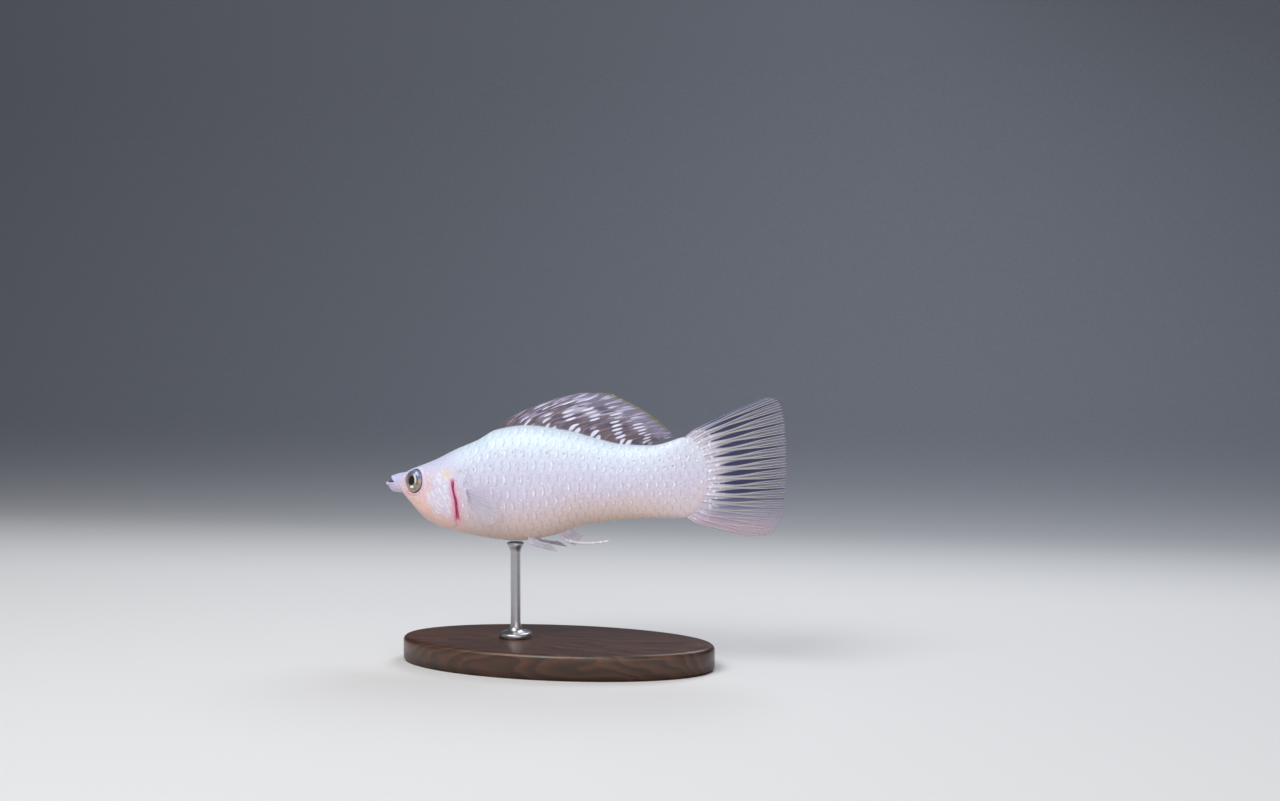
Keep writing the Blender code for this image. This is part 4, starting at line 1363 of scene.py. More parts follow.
    def snout_rows(self) -> list[Row]:
        """Rows from the lips back to the eye.

        Returns:
            The rows.
        """
        def row_at(share: float) -> Row:
            """Row this far from the lips."""
            def row(angle: float) -> tuple[Vector, Vector, Vector]:
                """Point and marks in this column."""
                start = self.lip_ring(angle, self.roll_end)
                first = start.x + self.lip_step
                x = first + (self.form.snout_end - first) * share
                settled = 1 - (1 - min(1.0, share / 0.22)) ** 2
                point = start.lerp(self.surface(x, angle), settled)
                return self.form.settle(point), *self.form.marks(point.x, angle)
            return row

        steps = self.snout_steps
        return [row_at((k / steps) ** 1.15) for k in range(1, steps)]

    def plain_row(self, nominal: float) -> Row:
        """Row whose place bends to follow the gill line near it.

        Args:
            nominal: its x on the flank.

        Returns:
            The row.
        """
        weight = ease(nominal, 8.0, 18.3) * (1 - ease(nominal, 20.7, 31.0))

        def row(angle: float) -> tuple[Vector, Vector, Vector]:
            """Point and marks in this column."""
            x = nominal + (self.form.gill_x(angle) - self.gill_nominal) * weight
            return self.form.settle(self.surface(x, angle)), *self.form.marks(x, angle)
        return row

    def slit_row(self, index: int) -> Row:
        """Row of the gill slit, which closes to a crease above and below.

        Args:
            index: which row of the slit's section.

        Returns:
            The row.
        """
        ahead, high, wet = self.slit[index]
        first, last = self.slit[0][0], self.slit[-1][0]
        flat = first + (last - first) * index / (len(self.slit) - 1)

        def row(angle: float) -> tuple[Vector, Vector, Vector]:
            """Point and marks in this column."""
            steep = abs(angle)
            share = ease(steep, 78, 93) * (1 - ease(steep, 117, 136))
            open_ = ahead
            if self.lips[0] <= index <= self.lips[1]:
                least, more = self.open_share
                open_ = self.slit_middle + (ahead - self.slit_middle) * (
                    least + more * hump(steep, 116, 26))
            step = flat + (open_ - flat) * share
            x = self.form.gill_x(angle) + step
            point = self.surface(x, angle, high * share)
            rim = max(0.0, wet * share) ** 0.6
            return self.form.settle(point), *self.form.marks(x, angle, rim)
        return row

    def body_rows(self) -> list[Row]:
        """Rows from the eye to the tail root.

        Returns:
            The rows, the last of them the pole.
        """
        def between(low: float, high: float, steps: int) -> list[float]:
            """Evenly spaced places after low, up to high."""
            return [low + (high - low) * k / steps for k in range(1, steps + 1)]

        form = self.form
        start = self.gill_nominal + self.slit[0][0]
        end = self.gill_nominal + self.slit[-1][0]
        back = form.tail_x - form.tail_round
        before = [form.snout_end, *between(form.snout_end, start, self.cheek_steps)[:-1]]
        near = between(end, self.flank_x, self.nape_steps)
        far = between(self.flank_x, back, self.flank_steps)
        ends = [back + form.tail_round * math.sin(math.pi / 2 * share)
                for share in between(0.0, 1.0, self.end_steps)]
        return ([self.plain_row(x) for x in before]
                + [self.slit_row(k) for k in range(len(self.slit))]
                + [self.plain_row(x) for x in near + far + ends])

    def from_nostril(self, point: Vector) -> float:
        """Distance of a point of the fish from the nearer nostril."""
        return (Vector((point.x, abs(point.y), point.z)) - Vector(self.nostril)).length

    def near_detail(self, point: Vector) -> bool:
        """Whether the point, in metres, is near an eye or a nostril."""
        mm = point / MM + self.form.offset()
        height, reach = self.eyes.local(mm)
        by_eye = height > -0.5 and self.eyes.radius - 0.9 < reach < self.eyes.radius + 1.1
        return by_eye or self.from_nostril(mm) < 0.9

    def pierce(self, bm: bmesh.types.BMesh) -> None:
        """Refine the mesh about the eyes and nostrils, press these in and darken the nostrils with
        painted shade.

        Args:
            bm: the skin, which is changed in place.
        """
        close = {v for v in bm.verts if self.near_detail(v.co)}
        edges = [e for e in bm.edges if e.verts[0] in close and e.verts[1] in close]
        bmesh.ops.subdivide_edges(bm, edges=edges, cuts=2, use_grid_fill=True)
        lie = layer_of(bm, "lie")
        offset = self.form.offset()
        for vert in bm.verts:
            mm = vert.co / MM + offset
            if mm.x > self.face_end:
                continue
            point = self.eyes.socket(mm)
            near = self.from_nostril(mm)
            if near < 1.0:
                pull = Vector((-0.3, math.copysign(0.75, mm.y), 0.65)).normalized()
                rim, hole = 0.10 * hump(near, 0.38, 0.14), 0.42 * hump(near, 0.0, 0.22)
                point = point + pull * (rim - hole)
                # Painted shade darkens the nostril's pit.
                marks = vert[lie].copy()
                marks.z = max(marks.z, 0.9 * hump(near, 0.0, 0.24))
                vert[lie] = marks
            vert.co = (point - offset) * MM

    def build(self, finish: bpy.types.Material) -> bpy.types.Object:
        """Make the skin.

        Args:
            finish: its material.

        Returns:
            The skin, which stands for the head, jaw, gill covers, trunk and tail stem.
        """
        bm = loft(self.mouth_rows() + self.snout_rows() + self.body_rows(), self.around)
        self.pierce(bm)
        skin = to_object(bm, "fish_skin", finish,
                         ["head", "lower_jaw", "trunk", "tail_stem", "gill_cover_left",
                          "gill_cover_right"])
        return skin


@dataclass
class Scales:
    """Overlapping plates that lie towards the tail."""

    skin: Skin
    length: float = 1.80
    reach: float = 1.05
    half_row: float = 0.92
    round_end: float = 0.95
    sink: float = 0.05
    lift: float = 0.09
    half_thick: float = 0.016
    sharp: float = 0.7
    front: float = -0.5
    patch: float = 0.0015
    first: int = -1
    last: int = 33
    last_x: float = 79.2
    end_gap: float = 0.35
    face_gap: float = 1.4
    nape_reach: float = 9.5
    crowd: float = 0.96
    least_lift: float = 0.35
    full_lift: float = 7.0

    def behind_face(self, x: float, angle: float) -> float:
        """How far a place is behind the front edge of the scales.

        Args:
            x: the place along the body.
            angle: the place round it, in degrees.

        Returns:
            The distance, negative on the bare face.
        """
        nape = self.nape_reach * (1 - ease(abs(angle), 42, 74))
        return x - self.skin.form.gill_x(angle) - self.face_gap + nape

    def plate(self, bm: bmesh.types.BMesh, column: float, row: int) -> None:
        """Add one scale.

        Args:
            bm: the mesh that the scales are joined in.
            column: its place in the lattice along the body.
            row: its row round the body, negative on the right side.
        """
        form = self.skin.form
        piece = bmesh.new()
        bmesh.ops.create_grid(piece, x_segments=6, y_segments=4, size=1.0)
        form_layer, lie_layer = layer_of(piece, "form"), layer_of(piece, "lie")
        uv = piece.loops.layers.uv.new("OFBake")
        spots = {}
        for vert in piece.verts:
            u, v = vert.co.x, (vert.co.y + 1) / 2
            run = (self.length - self.round_end * u * u) * v
            at = column + self.reach - self.length + run
            line = row + self.half_row * u
            line = max(-form.scale_rows + 0.001, min(form.scale_rows - 0.001, line))
            angle = form.angle_of(line / form.scale_rows)
            x = min(form.scale_x(at), form.tail_x - self.end_gap)
            behind = self.behind_face(x, angle)
            x += self.crowd * max(0.0, self.front - behind)
            grown = self.least_lift + (1 - self.least_lift) * ease(behind, 0.0, self.full_lift)
            high = grown * self.lift * run / self.length - self.sink
            spots[vert] = (u, v)
            vert.co = form.settle(self.skin.surface(x, angle, high))
            vert[form_layer], vert[lie_layer] = form.marks(x, angle)
        home = (0.03 + 0.94 * (row + form.scale_rows) / (2 * form.scale_rows),
                0.03 + 0.94 * (column - self.first) / (self.last - self.first + 1))
        for face in piece.faces:
            for loop in face.loops:
                u, v = spots[loop.vert]
                loop[uv].uv = (home[0] + self.patch * u, home[1] + self.patch * (2 * v - 1))
        thicken(piece, lambda vert: self.half_thick * MM)
        mesh = bpy.data.meshes.new("scale")
        bmesh.ops.recalc_face_normals(piece, faces=piece.faces[:])
        for edge in piece.edges:
            edge.smooth = edge.calc_face_angle(0.0) < self.sharp
        piece.to_mesh(mesh)
        piece.free()
        bm.from_mesh(mesh)
        bpy.data.meshes.remove(mesh)

    def build(self, finish: bpy.types.Material) -> bpy.types.Object:
        """Make all the scales as one piece.

        Args:
            finish: their material.

        Returns:
            The coat of scales.
        """
        bm = bmesh.new()
        rows = self.skin.form.scale_rows
        count = 0
        for row in range(1 - rows, rows + 1):
            for place in range(self.first, self.last + 1):
                column = place + 0.5 * (row % 2)
                x, angle = self.skin.form.scale_x(column), self.skin.form.angle_of(row / rows)
                if self.behind_face(x, angle) > 0 and x < self.last_x:
                    self.plate(bm, column, row)
                    count += 1
        LOG.info("scales: %d plates", count)
        coat = to_object(bm, "fish_scales", finish)
        return coat


@dataclass
class Gills:
    """Two combs of fine filaments behind each gill cover."""

    form: Form
    first: float = 78.0
    last: float = 135.0
    count: int = 74
    foot_radius: float = 0.09
    tip_radius: float = 0.045
    combs: ClassVar[tuple[tuple[float, float, float, float], ...]] = (
        (-1.30, -2.05, -0.22, -0.50), (-0.75, -2.30, 0.16, -1.15))

    def build(self, side: Side, finish: bpy.types.Material) -> bpy.types.Object:
        """Make one side's gills.

        Args:
            side: the side of the head.
            finish: their material.

        Returns:
            The gills.
        """
        bm = bmesh.new()
        for comb, (foot_x, foot_deep, tip_x, tip_deep) in enumerate(self.combs):
            for k in range(self.count):
                angle = self.first + (self.last - self.first) * (k + 0.5 * comb) / self.count
                rear = self.form.gill_x(angle)
                sway = math.sin(1.7 * k + comb) + 0.6 * math.sin(0.31 * k)
                foot = self.form.skin(rear + foot_x, angle, foot_deep)
                tip = self.form.skin(rear + tip_x + 0.10 * sway, angle + 0.5 + 0.4 * sway,
                                     tip_deep - 0.12 * abs(sway))
                foot.y *= -side.value
                tip.y *= -side.value
                along = tip - foot
                turn = along.to_track_quat("Z", "Y").to_matrix().to_4x4()
                middle = Matrix.Translation((foot + tip) / 2)
                bmesh.ops.create_cone(bm, cap_ends=True, segments=6, radius1=self.foot_radius,
                                      radius2=self.tip_radius, depth=along.length,
                                      matrix=middle @ turn)
        for vert in bm.verts:
            vert.co = self.form.settle(vert.co)
        name = side.name.lower()
        gills = to_object(bm, f"gill_combs_{name}", finish, [f"gills_{name}"])
        return gills


@dataclass
class Fin:
    """One fin: a thin sheet with raised rays, rooted under the skin."""

    form: Form
    name: str = "fin"
    node: str = "fin"
    slot: str = "clear_fin"
    rays: int = 8
    per_ray: int = 12
    rows: int = 48
    web_half: float = 0.06
    ray_half: float = 0.15
    base_half: float = 0.16
    sink_end: float = 0.20
    forked: bool = False

    def root(self, c: float) -> Vector:
        """Root of the fin on the solid, at this share across it."""
        raise NotImplementedError

    def inside(self, c: float) -> Vector:
        """Place under the skin where the sheet starts."""
        raise NotImplementedError

    def tip(self, c: float) -> Vector:
        """Tip of the fin at this share across it."""
        raise NotImplementedError

    def bow(self, c: float) -> Vector:
        """Point that the ray bends towards."""
        raise NotImplementedError

    def ridge(self, c: float, t: float) -> float:
        """How much of a ray there is at a point of the fin.

        Args:
            c: share of the way across the fin.
            t: share of the way out to the tip.

        Returns:
            1 on a ray's middle, 0 in the web.
        """
        near = abs((c * (self.rays - 1) + 0.5) % 1.0 - 0.5)
        if self.forked:
            for start, end, spread in FORKS:
                near = abs(near - spread * ease(t, start, end))
        width = 0.17 * (1 - (0.62 if self.forked else 0.4) * t)
        return max(0.0, 1 - (near / width) ** 2) if near < width else 0.0

    def point(self, c: float, t: float) -> Vector:
        """Point of the fin's middle sheet.

        Args:
            c: share of the way across the fin.
            t: share of the way out to the tip.

        Returns:
            The point.
        """
        root = self.root(c)
        edge = 1 - 0.022 * (1 - self.ridge(c, t)) * ease(t, 0.5, 1.0)
        s = t * edge
        return (bent(root, self.bow(c), self.tip(c), s)
                + (self.inside(c) - root) * (1 - ease(t, 0.0, self.sink_end)))

    def half(self, c: float, t: float) -> float:
        """Half of the fin's thickness at a point."""
        ray = self.ray_half * self.ridge(c, t) * (1 - 0.55 * t)
        return (self.web_half + self.base_half * (1 - t) ** 3 + ray) * (1 - 0.6 * t ** 4)

    def mark(self, c: float, t: float) -> Vector:
        """Values that the fin's colours are read from."""
        return Vector((c * (self.rays - 1), t, c))

    def sheet(self) -> bmesh.types.BMesh:
        """Make the closed sheet.

        Returns:
            The mesh, in metres.
        """
        bm = bmesh.new()
        bmesh.ops.create_grid(bm, x_segments=(self.rays - 1) * self.per_ray,
                              y_segments=self.rows, size=1.0)
        layer = layer_of(bm, "ray")
        places = {v.index: ((v.co.x + 1) / 2, (v.co.y + 1) / 2) for v in bm.verts}
        for vert in bm.verts:
            c, t = places[vert.index]
            vert[layer] = self.mark(c, t)
            vert.co = self.form.settle(self.point(c, t))
        thicken(bm, lambda v: self.half(v[layer].x / (self.rays - 1), v[layer].y) * MM)
        return bm

    def build(self, finish: bpy.types.Material) -> bpy.types.Object:
        """Make the fin.

        Args:
            finish: its material.

        Returns:
            The fin.
        """
        fin = to_object(self.sheet(), self.name, finish, [self.node])
        return fin


@dataclass
class BackFin(Fin):
    """The tall sail along the back."""

    name: str = "dorsal_sail"
    node: str = "dorsal_fin"
    slot: str = "sail"
    rays: int = 14
    rows: int = 56
    forked: bool = True
    sink_end: float = 0.12
    first_x: float = 29.2
    last_x: float = 67.4
    tips_x: Curve = Curve(
        (0, 38.6), (0.06, 45.6), (0.12, 51.2), (0.2, 56.4), (0.3, 60.6), (0.42, 64.4), (0.55, 67.6),
        (0.7, 70.3), (0.85, 72.1), (1, 73.2))
    tips_z: Curve = Curve(
        (0, 17.6), (0.06, 20.05), (0.12, 21.1), (0.2, 21.1), (0.3, 19.6), (0.42, 17.8),
        (0.55, 16.0), (0.7, 14.0), (0.85, 12.3), (1, 10.6))

    def root(self, c: float) -> Vector:
        """Root of the fin on the solid, at this share across it."""
        x = self.first_x + (self.last_x - self.first_x) * c
        return Vector((x, 0.0, self.form.skin(x, 0).z + 0.35))

    def inside(self, c: float) -> Vector:
        """Place under the skin where the sheet starts."""
        return self.root(c) - Vector((0.4, 0.0, 1.3))

    def tip(self, c: float) -> Vector:
        """Tip of the fin at this share across it."""
        return Vector((self.tips_x(c), 0.9 * math.sin(5 * c + 0.4), self.tips_z(c)))

    def bow(self, c: float) -> Vector:
        """Point that the ray bends towards."""
        middle = (self.root(c) + self.tip(c)) / 2
        return middle + Vector((-0.4, -0.35 * math.sin(6 * c), 0.8 * (1 - c) + 0.3))

    def mark(self, c: float, t: float) -> Vector:
        """Values that the fin's colours are read from, with the length along the ray."""
        return Vector((c * (self.rays - 1), t, (self.tip(c) - self.root(c)).length * t))


@dataclass
class TailFin(Fin):
    """The broad fan of the tail."""

    name: str = "caudal_fan"
    node: str = "caudal_fin"
    rays: int = 16
    per_ray: int = 16
    rows: int = 56
    forked: bool = True
    sink_end: float = 0.16
    tips_x: Curve = Curve(
        (0, 92.0), (0.05, 95.6), (0.1, 98.0), (0.25, 99.5), (0.5, 100.0), (0.75, 99.5),
        (0.88, 98.3), (0.95, 95.6), (1, 90.8))
    tips_z: Curve = Curve(
        (0, 19.0), (0.05, 20.3), (0.1, 19.4), (0.25, 13.6), (0.5, 3.7), (0.75, -5.4), (0.88, -9.9),
        (0.95, -12.4), (1, -12.9))

    def edge(self, c: float, away: float) -> Vector:
        """Point off the rounded end of the tail root.

        Args:
            c: share of the way across the fin.
            away: distance outside the tail root.

        Returns:
            The point.
        """
        turn = math.radians(5 + 163 * c)
        form = self.form
        x = form.tail_x - form.tail_round + form.tail_round * math.sin(turn)
        reach = abs((form.back if c < 0.5 else form.belly)(x) - form.tail_z)
        out = Vector((math.sin(turn), 0.0, math.cos(turn)))
        return Vector((x, 0.0, form.tail_z + reach * math.cos(turn))) + out * away

    def root(self, c: float) -> Vector:
        """Root of the fin on the solid, at this share across it."""
        return self.edge(c, 0.3)

    def inside(self, c: float) -> Vector:
        """Place under the skin where the sheet starts."""
        root = self.root(c)
        back = (self.tip(c) - root).normalized() + (self.edge(c, 1.0) - self.edge(c, 0.0))
        return root - back.normalized() * 1.9

    def tip(self, c: float) -> Vector:
        """Tip of the fin at this share across it."""
        return Vector((self.tips_x(c), 0.5 * math.sin(7 * c), self.tips_z(c)))

    def bow(self, c: float) -> Vector:
        """Point that the ray bends towards."""
        middle = (self.root(c) + self.tip(c)) / 2
        return middle + Vector((0.0, 0.3 * math.sin(9 * c), 0.5 * math.cos(math.pi * c)))


@dataclass
class PairedFin(Fin):
    """A fin of one side, such as the pectoral or the pelvic one."""

    side: Side = Side.LEFT
    root_x: float = 22.3
    spread_x: float = 1.1
    length: float = 12.5
    off: float = 0.88
    stalk: float = 0.55
    rows: int = 44
    per_ray: int = 14
    ray_half: float = 0.09
    sink_end: float = 0.24
    forked: bool = True

    def foot(self, c: float, out: float) -> Vector:
        """Point on the body at the fin's root, this far outside the skin."""
        raise NotImplementedError

    def root(self, c: float) -> Vector:
        """Root of the fin on the solid, at this share across it."""
        return self.foot(c, self.off)

    def inside(self, c: float) -> Vector:
        """Place under the skin where the sheet starts."""
        return self.foot(0.5 + (c - 0.5) * self.stalk, -0.75) + Vector((0.15, 0, 0))

    def half(self, c: float, t: float) -> float:
        """Half of the fin's thickness at a point, less at the edges of its fleshy root."""
        plain = super().half(c, t)
        round_ = math.sqrt(max(0.04, 1 - (2 * c - 1) ** 4))
        return plain * (round_ + (1 - round_) * ease(t, 0.1, 0.4))

    def sheet(self) -> bmesh.types.BMesh:
        """Make the closed sheet on its own side.

        Returns:
            The mesh, in metres.
        """
        bm = super().sheet()
        if self.side is Side.RIGHT:
            for vert in bm.verts:
                bend = self.form.bend(vert.co.x / MM + self.form.length / 2)
                vert.co.y = 2 * bend * MM - vert.co.y
        return bm


@dataclass
class BreastFin(PairedFin):
    """Pectoral fin, behind the gill cover."""

    rays: int = 9
    root_z: float = -1.9

    def foot(self, c: float, out: float) -> Vector:
        """Point on the body at the fin's root, this far outside the skin."""
        x = self.root_x + self.spread_x * c
        return self.form.skin(x, self.form.angle_at(x, self.root_z - 3.6 * c), out)

    def tip(self, c: float) -> Vector:
        """Tip of the fin at this share across it."""
        way = Vector((1 - 0.25 * c, -0.34 - 0.10 * c, -0.10 - 0.62 * c)).normalized()
        return self.root(c) + way * self.length * (1 - 0.42 * abs(2 * c - 0.85) ** 2.2)

    def bow(self, c: float) -> Vector:
        """Point that the ray bends towards."""
        return (self.root(c) + self.tip(c)) / 2 + Vector((0, -0.8, 0.25))


@dataclass
class BellyFin(PairedFin):
    """Pelvic fin, under the belly."""

    rays: int = 6
    root_x: float = 36.4
    spread_x: float = 2.3
    length: float = 9.5
    off: float = 0.68

    def foot(self, c: float, out: float) -> Vector:
        """Point on the body at the fin's root, this far outside the skin."""
        return self.form.skin(self.root_x + self.spread_x * c, 158 + 6 * c, out)

    def tip(self, c: float) -> Vector:
        """Tip of the fin at this share across it."""
        way = Vector((0.93, -0.16, -0.22 + 0.12 * c)).normalized()
        return self.root(c) + way * self.length * (1 - 0.5 * c)

    def bow(self, c: float) -> Vector:
        """Point that the ray bends towards."""
        return (self.root(c) + self.tip(c)) / 2 + Vector((0, -0.2, -0.4))


@dataclass
class VentFin(Fin):
    """Anal fin: a long jointed rod in front and a short web behind it."""

    name: str = "anal_fin_web"
    node: str = "anal_fin"
    rays: int = 6
    rows: int = 30
    first_x: float = 44.6
    last_x: float = 48.0
    length: float = 4.4
    rod_length: float = 12.5
    rod_drop: float = 2.2
    rod_radius: float = 0.46
    rod_steps: int = 46

    def root(self, c: float) -> Vector:
        """Root of the fin on the solid, at this share across it."""
        x = self.first_x + (self.last_x - self.first_x) * c
        return Vector((x, 0.0, self.form.skin(x, 180).z - 0.35))

    def inside(self, c: float) -> Vector:
        """Place under the skin where the sheet starts."""
        return self.root(c) + Vector((-0.3, 0.0, 1.2))

    def tip(self, c: float) -> Vector:
        """Tip of the fin at this share across it."""
        way = Vector((0.86, 0.0, -0.50 + 0.2 * c)).normalized()
        return self.root(c) + way * self.length * (1.1 - 0.4 * c)

    def bow(self, c: float) -> Vector:
        """Point that the ray bends towards."""
        return (self.root(c) + self.tip(c)) / 2 - Vector((0, 0, 0.5))

    def build_rod(self, finish: bpy.types.Material) -> bpy.types.Object:
        """Make the long rod of the fin's first rays.

        Args:
            finish: its material.

        Returns:
            The rod.
        """
        heel = self.root(0) + Vector((0.4, 0, -0.35))
        point = heel + Vector((self.rod_length, 0, -0.5))
        knee = (heel + point) / 2 - Vector((1.5, 0, self.rod_drop))
        start = heel + Vector((-0.5, 0, 1.4))

        def row_at(share: float) -> Row:
            """Row this far along the rod."""
            def row(angle: float) -> tuple[Vector, Vector, Vector]:
                """Point and marks in this column."""
                middle = bent(heel, knee, point, share)
                middle = middle + (start - heel) * (1 - ease(share, 0.0, 0.10))
                turn = math.radians(angle)
                ribs = 1 + 0.07 * math.cos(3 * turn) + 0.05 * math.cos(share * 180)
                size = self.rod_radius * (1 - 0.55 * share) * ribs
                size *= min(1.0, math.sqrt(max(0.0, 1 - share) * 14))
                side = Vector((0.0, math.sin(turn), math.cos(turn)))
                return (self.form.settle(middle + side * size),
                        *self.form.marks(middle.x, 150.0))
            return row

        steps = self.rod_steps
        bm = loft([row_at(k / steps) for k in range(steps + 1)], 20)
        layer = layer_of(bm, "ray")
        for vert in bm.verts:
            vert[layer] = Vector((0.0, 0.05, 0.5))
        rod = to_object(bm, "anal_fin_rod", finish, [self.node])
        return rod


@dataclass
class Stand:
    """Oval wooden base with a steel rod under the belly."""

    base_length: float = 78.0
    base_width: float = 38.0
    base_thick: float = 6.0
    base_x: float = -6.0
    edge: float = 1.1
    foot_high: float = 0.7
    foot_inset: float = 0.5
    top_inset: float = 3.2
    rod_x: float = -16.4
    rod_radius: float = 1.2
    flange_radius: float = 4.0
    flange_thick: float = 1.4

    def build_base(self, finish: bpy.types.Material) -> bpy.types.Object:
        """Make the base, with a rounded upper edge and a small step at its foot.

        Args:
            finish: its material.

        Returns:
            The base.
        """
        bm = bmesh.new()
        made = bmesh.ops.create_circle(bm, cap_ends=True, segments=128, radius=1.0)
        foot = (self.base_length / 2 - self.foot_inset, self.base_width / 2 - self.foot_inset, 1)
        bmesh.ops.scale(bm, verts=made["verts"], vec=foot)
        lifted = bmesh.ops.extrude_face_region(bm, geom=bm.faces[:])
        top = [v for v in lifted["geom"] if isinstance(v, bmesh.types.BMVert)]
        bmesh.ops.translate(bm, verts=top, vec=(0, 0, self.foot_high))
        steps = ((self.foot_inset, 0.0), (0.0, self.base_thick - self.foot_high),
                 (-self.top_inset, 0.0))
        face = next(f for f in bm.faces if all(v in top for v in f.verts))
        for grow, rise in steps:
            lifted = bmesh.ops.extrude_discrete_faces(bm, faces=[face])
            face = lifted["faces"][0]
            wide = Vector((1 + grow / (self.base_length / 2), 1 + grow / (self.base_width / 2), 1))
            bmesh.ops.scale(bm, verts=face.verts[:], vec=wide)
            bmesh.ops.translate(bm, verts=face.verts[:], vec=(0, 0, rise))
        bmesh.ops.remove_doubles(bm, verts=bm.verts[:], dist=1e-5)
        bm.normal_update()
        rim = [e for e in bm.edges
               if all(abs(v.co.z - self.base_thick) < 1e-4 for v in e.verts)
               and any(abs(f.normal.z) < 0.5 for f in e.link_faces)]
        bmesh.ops.bevel(bm, geom=rim, offset=self.edge, offset_type="OFFSET", segments=6,
                        profile=0.5, material=-1, affect="EDGES")
        bmesh.ops.scale(bm, verts=bm.verts[:], vec=(MM, MM, MM))
        bmesh.ops.translate(bm, verts=bm.verts[:], vec=(self.base_x * MM, 0, 0))
        base = to_object(bm, "stand_base_wood", finish, ["stand_base"], smooth=False)
        for polygon in base.data.polygons:
            polygon.use_smooth = abs(polygon.normal.z) < 0.999
        return base

    def build_rod(self, finish: bpy.types.Material, top_z: float) -> bpy.types.Object:
        """Make the rod with its turned foot and its cup.

        Args:
            finish: its material.
            top_z: height of the rod's top, in millimetres.

        Returns:
            The rod.
        """
        foot = self.base_thick
        radius, flange = self.rod_radius, self.flange_radius
        profile = ((0, foot), (flange, foot), (flange, foot + 0.9), (flange - 0.15, foot + 1.2),
                   (flange - 0.5, foot + self.flange_thick), (radius + 0.9, foot + 1.6),
                   (radius + 0.35, foot + 2.1), (radius + 0.08, foot + 3.0), (radius, foot + 4.2),
                   (radius, top_z - 2.4), (radius + 0.35, top_z - 1.4),
                   (radius + 0.75, top_z - 0.7), (radius + 0.85, top_z - 0.25),
                   (radius + 0.7, top_z), (0, top_z - 0.15))
        bm = bmesh.new()
        verts = [bm.verts.new((x * MM, 0, z * MM)) for x, z in profile]
        edges = [bm.edges.new(pair) for pair in zip(verts, verts[1:])]
        bmesh.ops.spin(bm, geom=verts + edges, cent=(0, 0, 0), axis=(0, 0, 1),
                       angle=2 * math.pi, steps=48, use_merge=True)
        bmesh.ops.remove_doubles(bm, verts=bm.verts[:], dist=1e-7)
        bmesh.ops.translate(bm, verts=bm.verts[:], vec=(self.rod_x * MM, 0, 0))
        rod = to_object(bm, "stand_rod_steel", finish, ["stand_rod"])
        return rod


@dataclass(frozen=True)
class Lamp:
    """Soft square light: its name, its place and side in metres, its watts and its colour."""

    name: str
    place: tuple[float, float, float]
    size: float
    watts: float
    colour: Colour


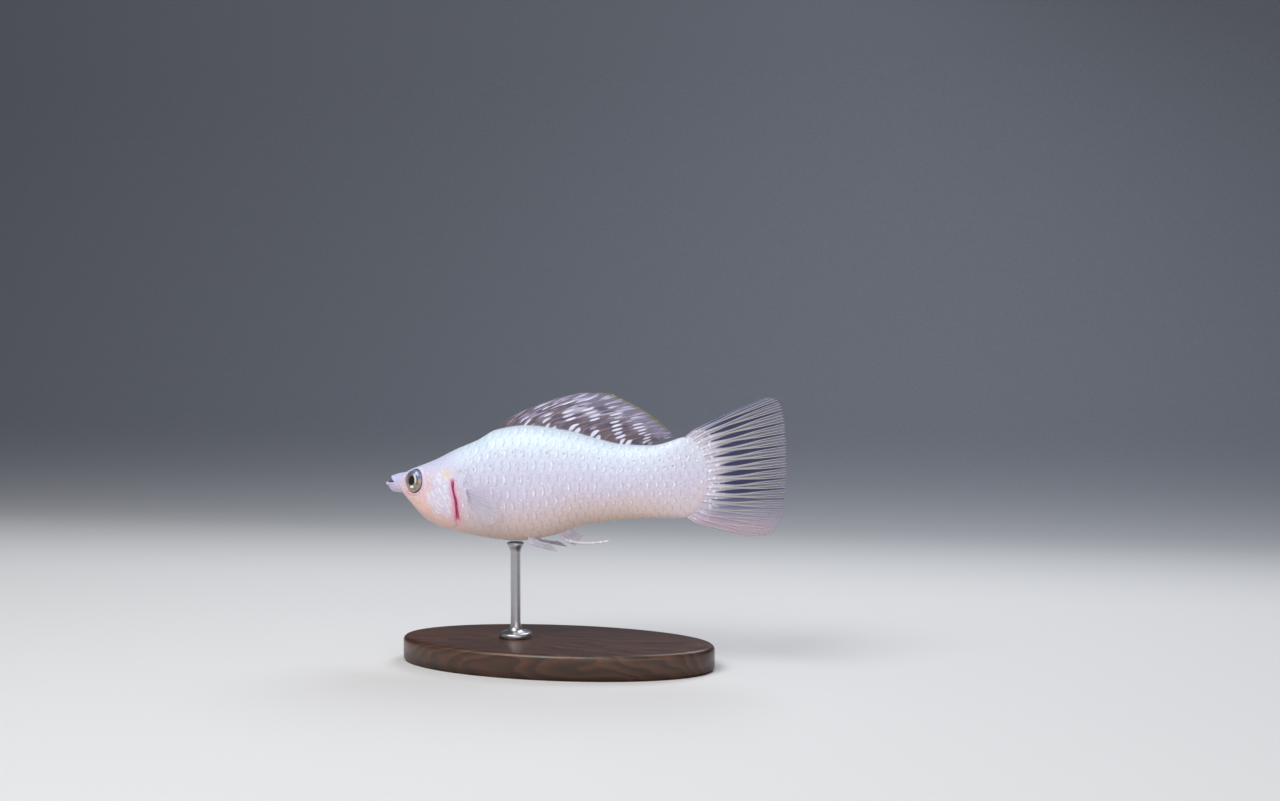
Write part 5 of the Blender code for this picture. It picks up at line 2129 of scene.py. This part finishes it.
@dataclass
class Studio:
    """Floor, backdrop, soft lights and the camera.

    The focal length, the frame's width and the target's shift from the frame's middle are in
    pixels of the photograph.
    """

    target: tuple[float, float, float] = (0.0025, 0.0, 0.045)
    distance: float = 0.3486
    azimuth: float = 15.0
    elevation: float = 5.0
    focal: float = 1440.0
    frame_width: float = 1280.0
    shift: tuple[float, float] = (-50.0, -79.5)
    sensor: float = 36.0
    sweep_start: float = 0.26
    sweep_radius: float = 0.25
    floor_share: float = 0.6
    bend_share: float = 0.75
    floor_reach: float = 1.8
    wall_reach: float = 6.0
    half_wide: float = 2.2
    sky: tuple[float, float, float, float] = (0.93, 0.95, 1.0, 1.0)
    sky_strength: float = 0.34
    lamps: ClassVar[tuple[Lamp, ...]] = (
        Lamp("key_light", (-0.16, -0.34, 0.56), 0.40, 3.1, (1.0, 0.99, 0.98)),
        Lamp("fill_light", (0.30, -0.60, 0.12), 0.60, 1.6, (1.0, 0.95, 0.93)),
        Lamp("rim_light", (0.12, 0.30, 0.45), 0.30, 1.2, (0.88, 0.93, 1.0)))

    def build_stage(self, finish: bpy.types.Material) -> bpy.types.Object:
        """Make the floor, which sweeps up into the backdrop.

        Args:
            finish: its material.

        Returns:
            The stage.
        """
        bm = bmesh.new()
        bmesh.ops.create_grid(bm, x_segments=2, y_segments=60, size=1.0)
        for vert in bm.verts:
            share = (vert.co.y + 1) / 2
            run = (share - self.floor_share) / (1 - self.floor_share)
            bend = math.radians(90) * min(1.0, max(0.0, run) / self.bend_share)
            vert.co.x *= self.half_wide
            vert.co.y = (self.sweep_start - self.floor_reach * max(0.0, -run)
                         + self.sweep_radius * math.sin(bend))
            vert.co.z = (self.sweep_radius * (1 - math.cos(bend))
                         + self.wall_reach * max(0.0, run - self.bend_share))
        for face in bm.faces:
            face.smooth = True
        stage = link_mesh(bm, "studio_sweep", finish)
        return stage

    def add_light(self, lamp: Lamp) -> None:
        """Hang a light so that it faces the fish.

        Args:
            lamp: the light's place, size and colour.
        """
        data = bpy.data.lights.new(lamp.name, "AREA")
        data.size = lamp.size
        data.energy = lamp.watts
        data.color = lamp.colour
        light = bpy.data.objects.new(lamp.name, data)
        light.location = lamp.place
        way = Vector(self.target) - Vector(lamp.place)
        light.rotation_euler = way.to_track_quat("-Z", "Y").to_euler()
        bpy.context.scene.collection.objects.link(light)

    def build_lights(self) -> None:
        """Set the key from above the head, a fill, a rim light and a soft world."""
        for lamp in self.lamps:
            self.add_light(lamp)
        world = bpy.data.worlds.new("studio_world")
        world.use_nodes = True
        back = world.node_tree.nodes["Background"]
        back.inputs[0].default_value = self.sky
        back.inputs[1].default_value = self.sky_strength
        bpy.context.scene.world = world
        bpy.context.scene.view_settings.view_transform = "Standard"

    def build_camera(self) -> bpy.types.Object:
        """Set the camera at the photograph's angle and framing.

        Returns:
            The camera.
        """
        across, down = self.shift[0] / self.focal, self.shift[1] / self.focal
        turn, rise = math.radians(self.azimuth), math.radians(self.elevation)
        reach = math.sqrt(1 + across ** 2 + down ** 2)
        pitch = math.asin(-reach * math.sin(rise) / math.sqrt(1 + down ** 2)) - math.atan(down)
        yaw = turn + math.atan2(across, math.cos(pitch) - down * math.sin(pitch))
        data = bpy.data.cameras.new("photo_camera")
        data.lens = self.focal * self.sensor / self.frame_width
        data.sensor_width = self.sensor
        data.clip_start = 0.001
        camera = bpy.data.objects.new("photo_camera", data)
        camera.location = Vector(self.target) + self.distance * Vector(
            (math.sin(turn) * math.cos(rise), -math.cos(turn) * math.cos(rise), math.sin(rise)))
        camera.rotation_euler = (math.pi / 2 + pitch, 0.0, yaw)
        bpy.context.scene.collection.objects.link(camera)
        bpy.context.scene.camera = camera
        return camera


def build_fins(form: Form) -> None:
    """Make every fin.

    Args:
        form: the body's shape.
    """
    fan = Membrane().build("tail_membrane")
    clear = Membrane(web=(0.78, 0.76, 0.83), pale_web=(0.82, 0.80, 0.85), web_alpha=0.20,
                     wedge=(0.76, 0.74, 0.82), upper=(0.84, 0.84, 0.92), lower=(0.92, 0.84, 0.86),
                     ray=(0.84, 0.82, 0.86), joints=26.0, ray_width=0.15,
                     ray_alpha=0.45).build("clear_membrane")
    pale = Membrane(web=(0.80, 0.78, 0.84), pale_web=(0.82, 0.79, 0.84), web_alpha=0.62,
                    wedge=(0.74, 0.72, 0.80), upper=(0.84, 0.84, 0.92), lower=(0.90, 0.82, 0.84),
                    ray=(0.88, 0.86, 0.90), joints=22.0).build("pale_membrane")
    TailFin(form).build(fan)
    BackFin(form).build(Sail().build("sail_membrane"))
    for side in Side:
        name = side.name.lower()
        for kind, part, finish in ((BreastFin, "pectoral", clear), (BellyFin, "pelvic", pale)):
            fin = kind(form, name=f"{part}_fan_{name}", node=f"{part}_fin_{name}", side=side)
            fin.build(finish)
    vent = VentFin(form)
    vent.build(pale)
    vent.build_rod(pale)


def main() -> None:
    """Build the model's pieces in order, then the studio."""
    logging.basicConfig(level=logging.INFO, format="%(message)s")
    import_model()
    form = Form()
    eyes = Eyes(form)
    skin = Skin(form, eyes)
    skin.build(Coat().build("pearl_skin", scaled=False))
    Scales(skin).build(Coat().build("pearl_scales", scaled=True))
    iris = Iris().build("iris")
    red = GillRed().build("gill_red")
    for side in Side:
        eyes.build(side, iris)
        Gills(form).build(side, red)
    build_fins(form)
    stand = Stand()
    stand.build_base(Walnut().build("walnut"))
    stand.build_rod(Steel().build("brushed_steel"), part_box("stand_rod")[1][2] / MM)
    studio = Studio()
    studio.build_stage(Paper().build("studio_paper"))
    studio.build_lights()
    studio.build_camera()


if __name__ == "__main__":
    main()
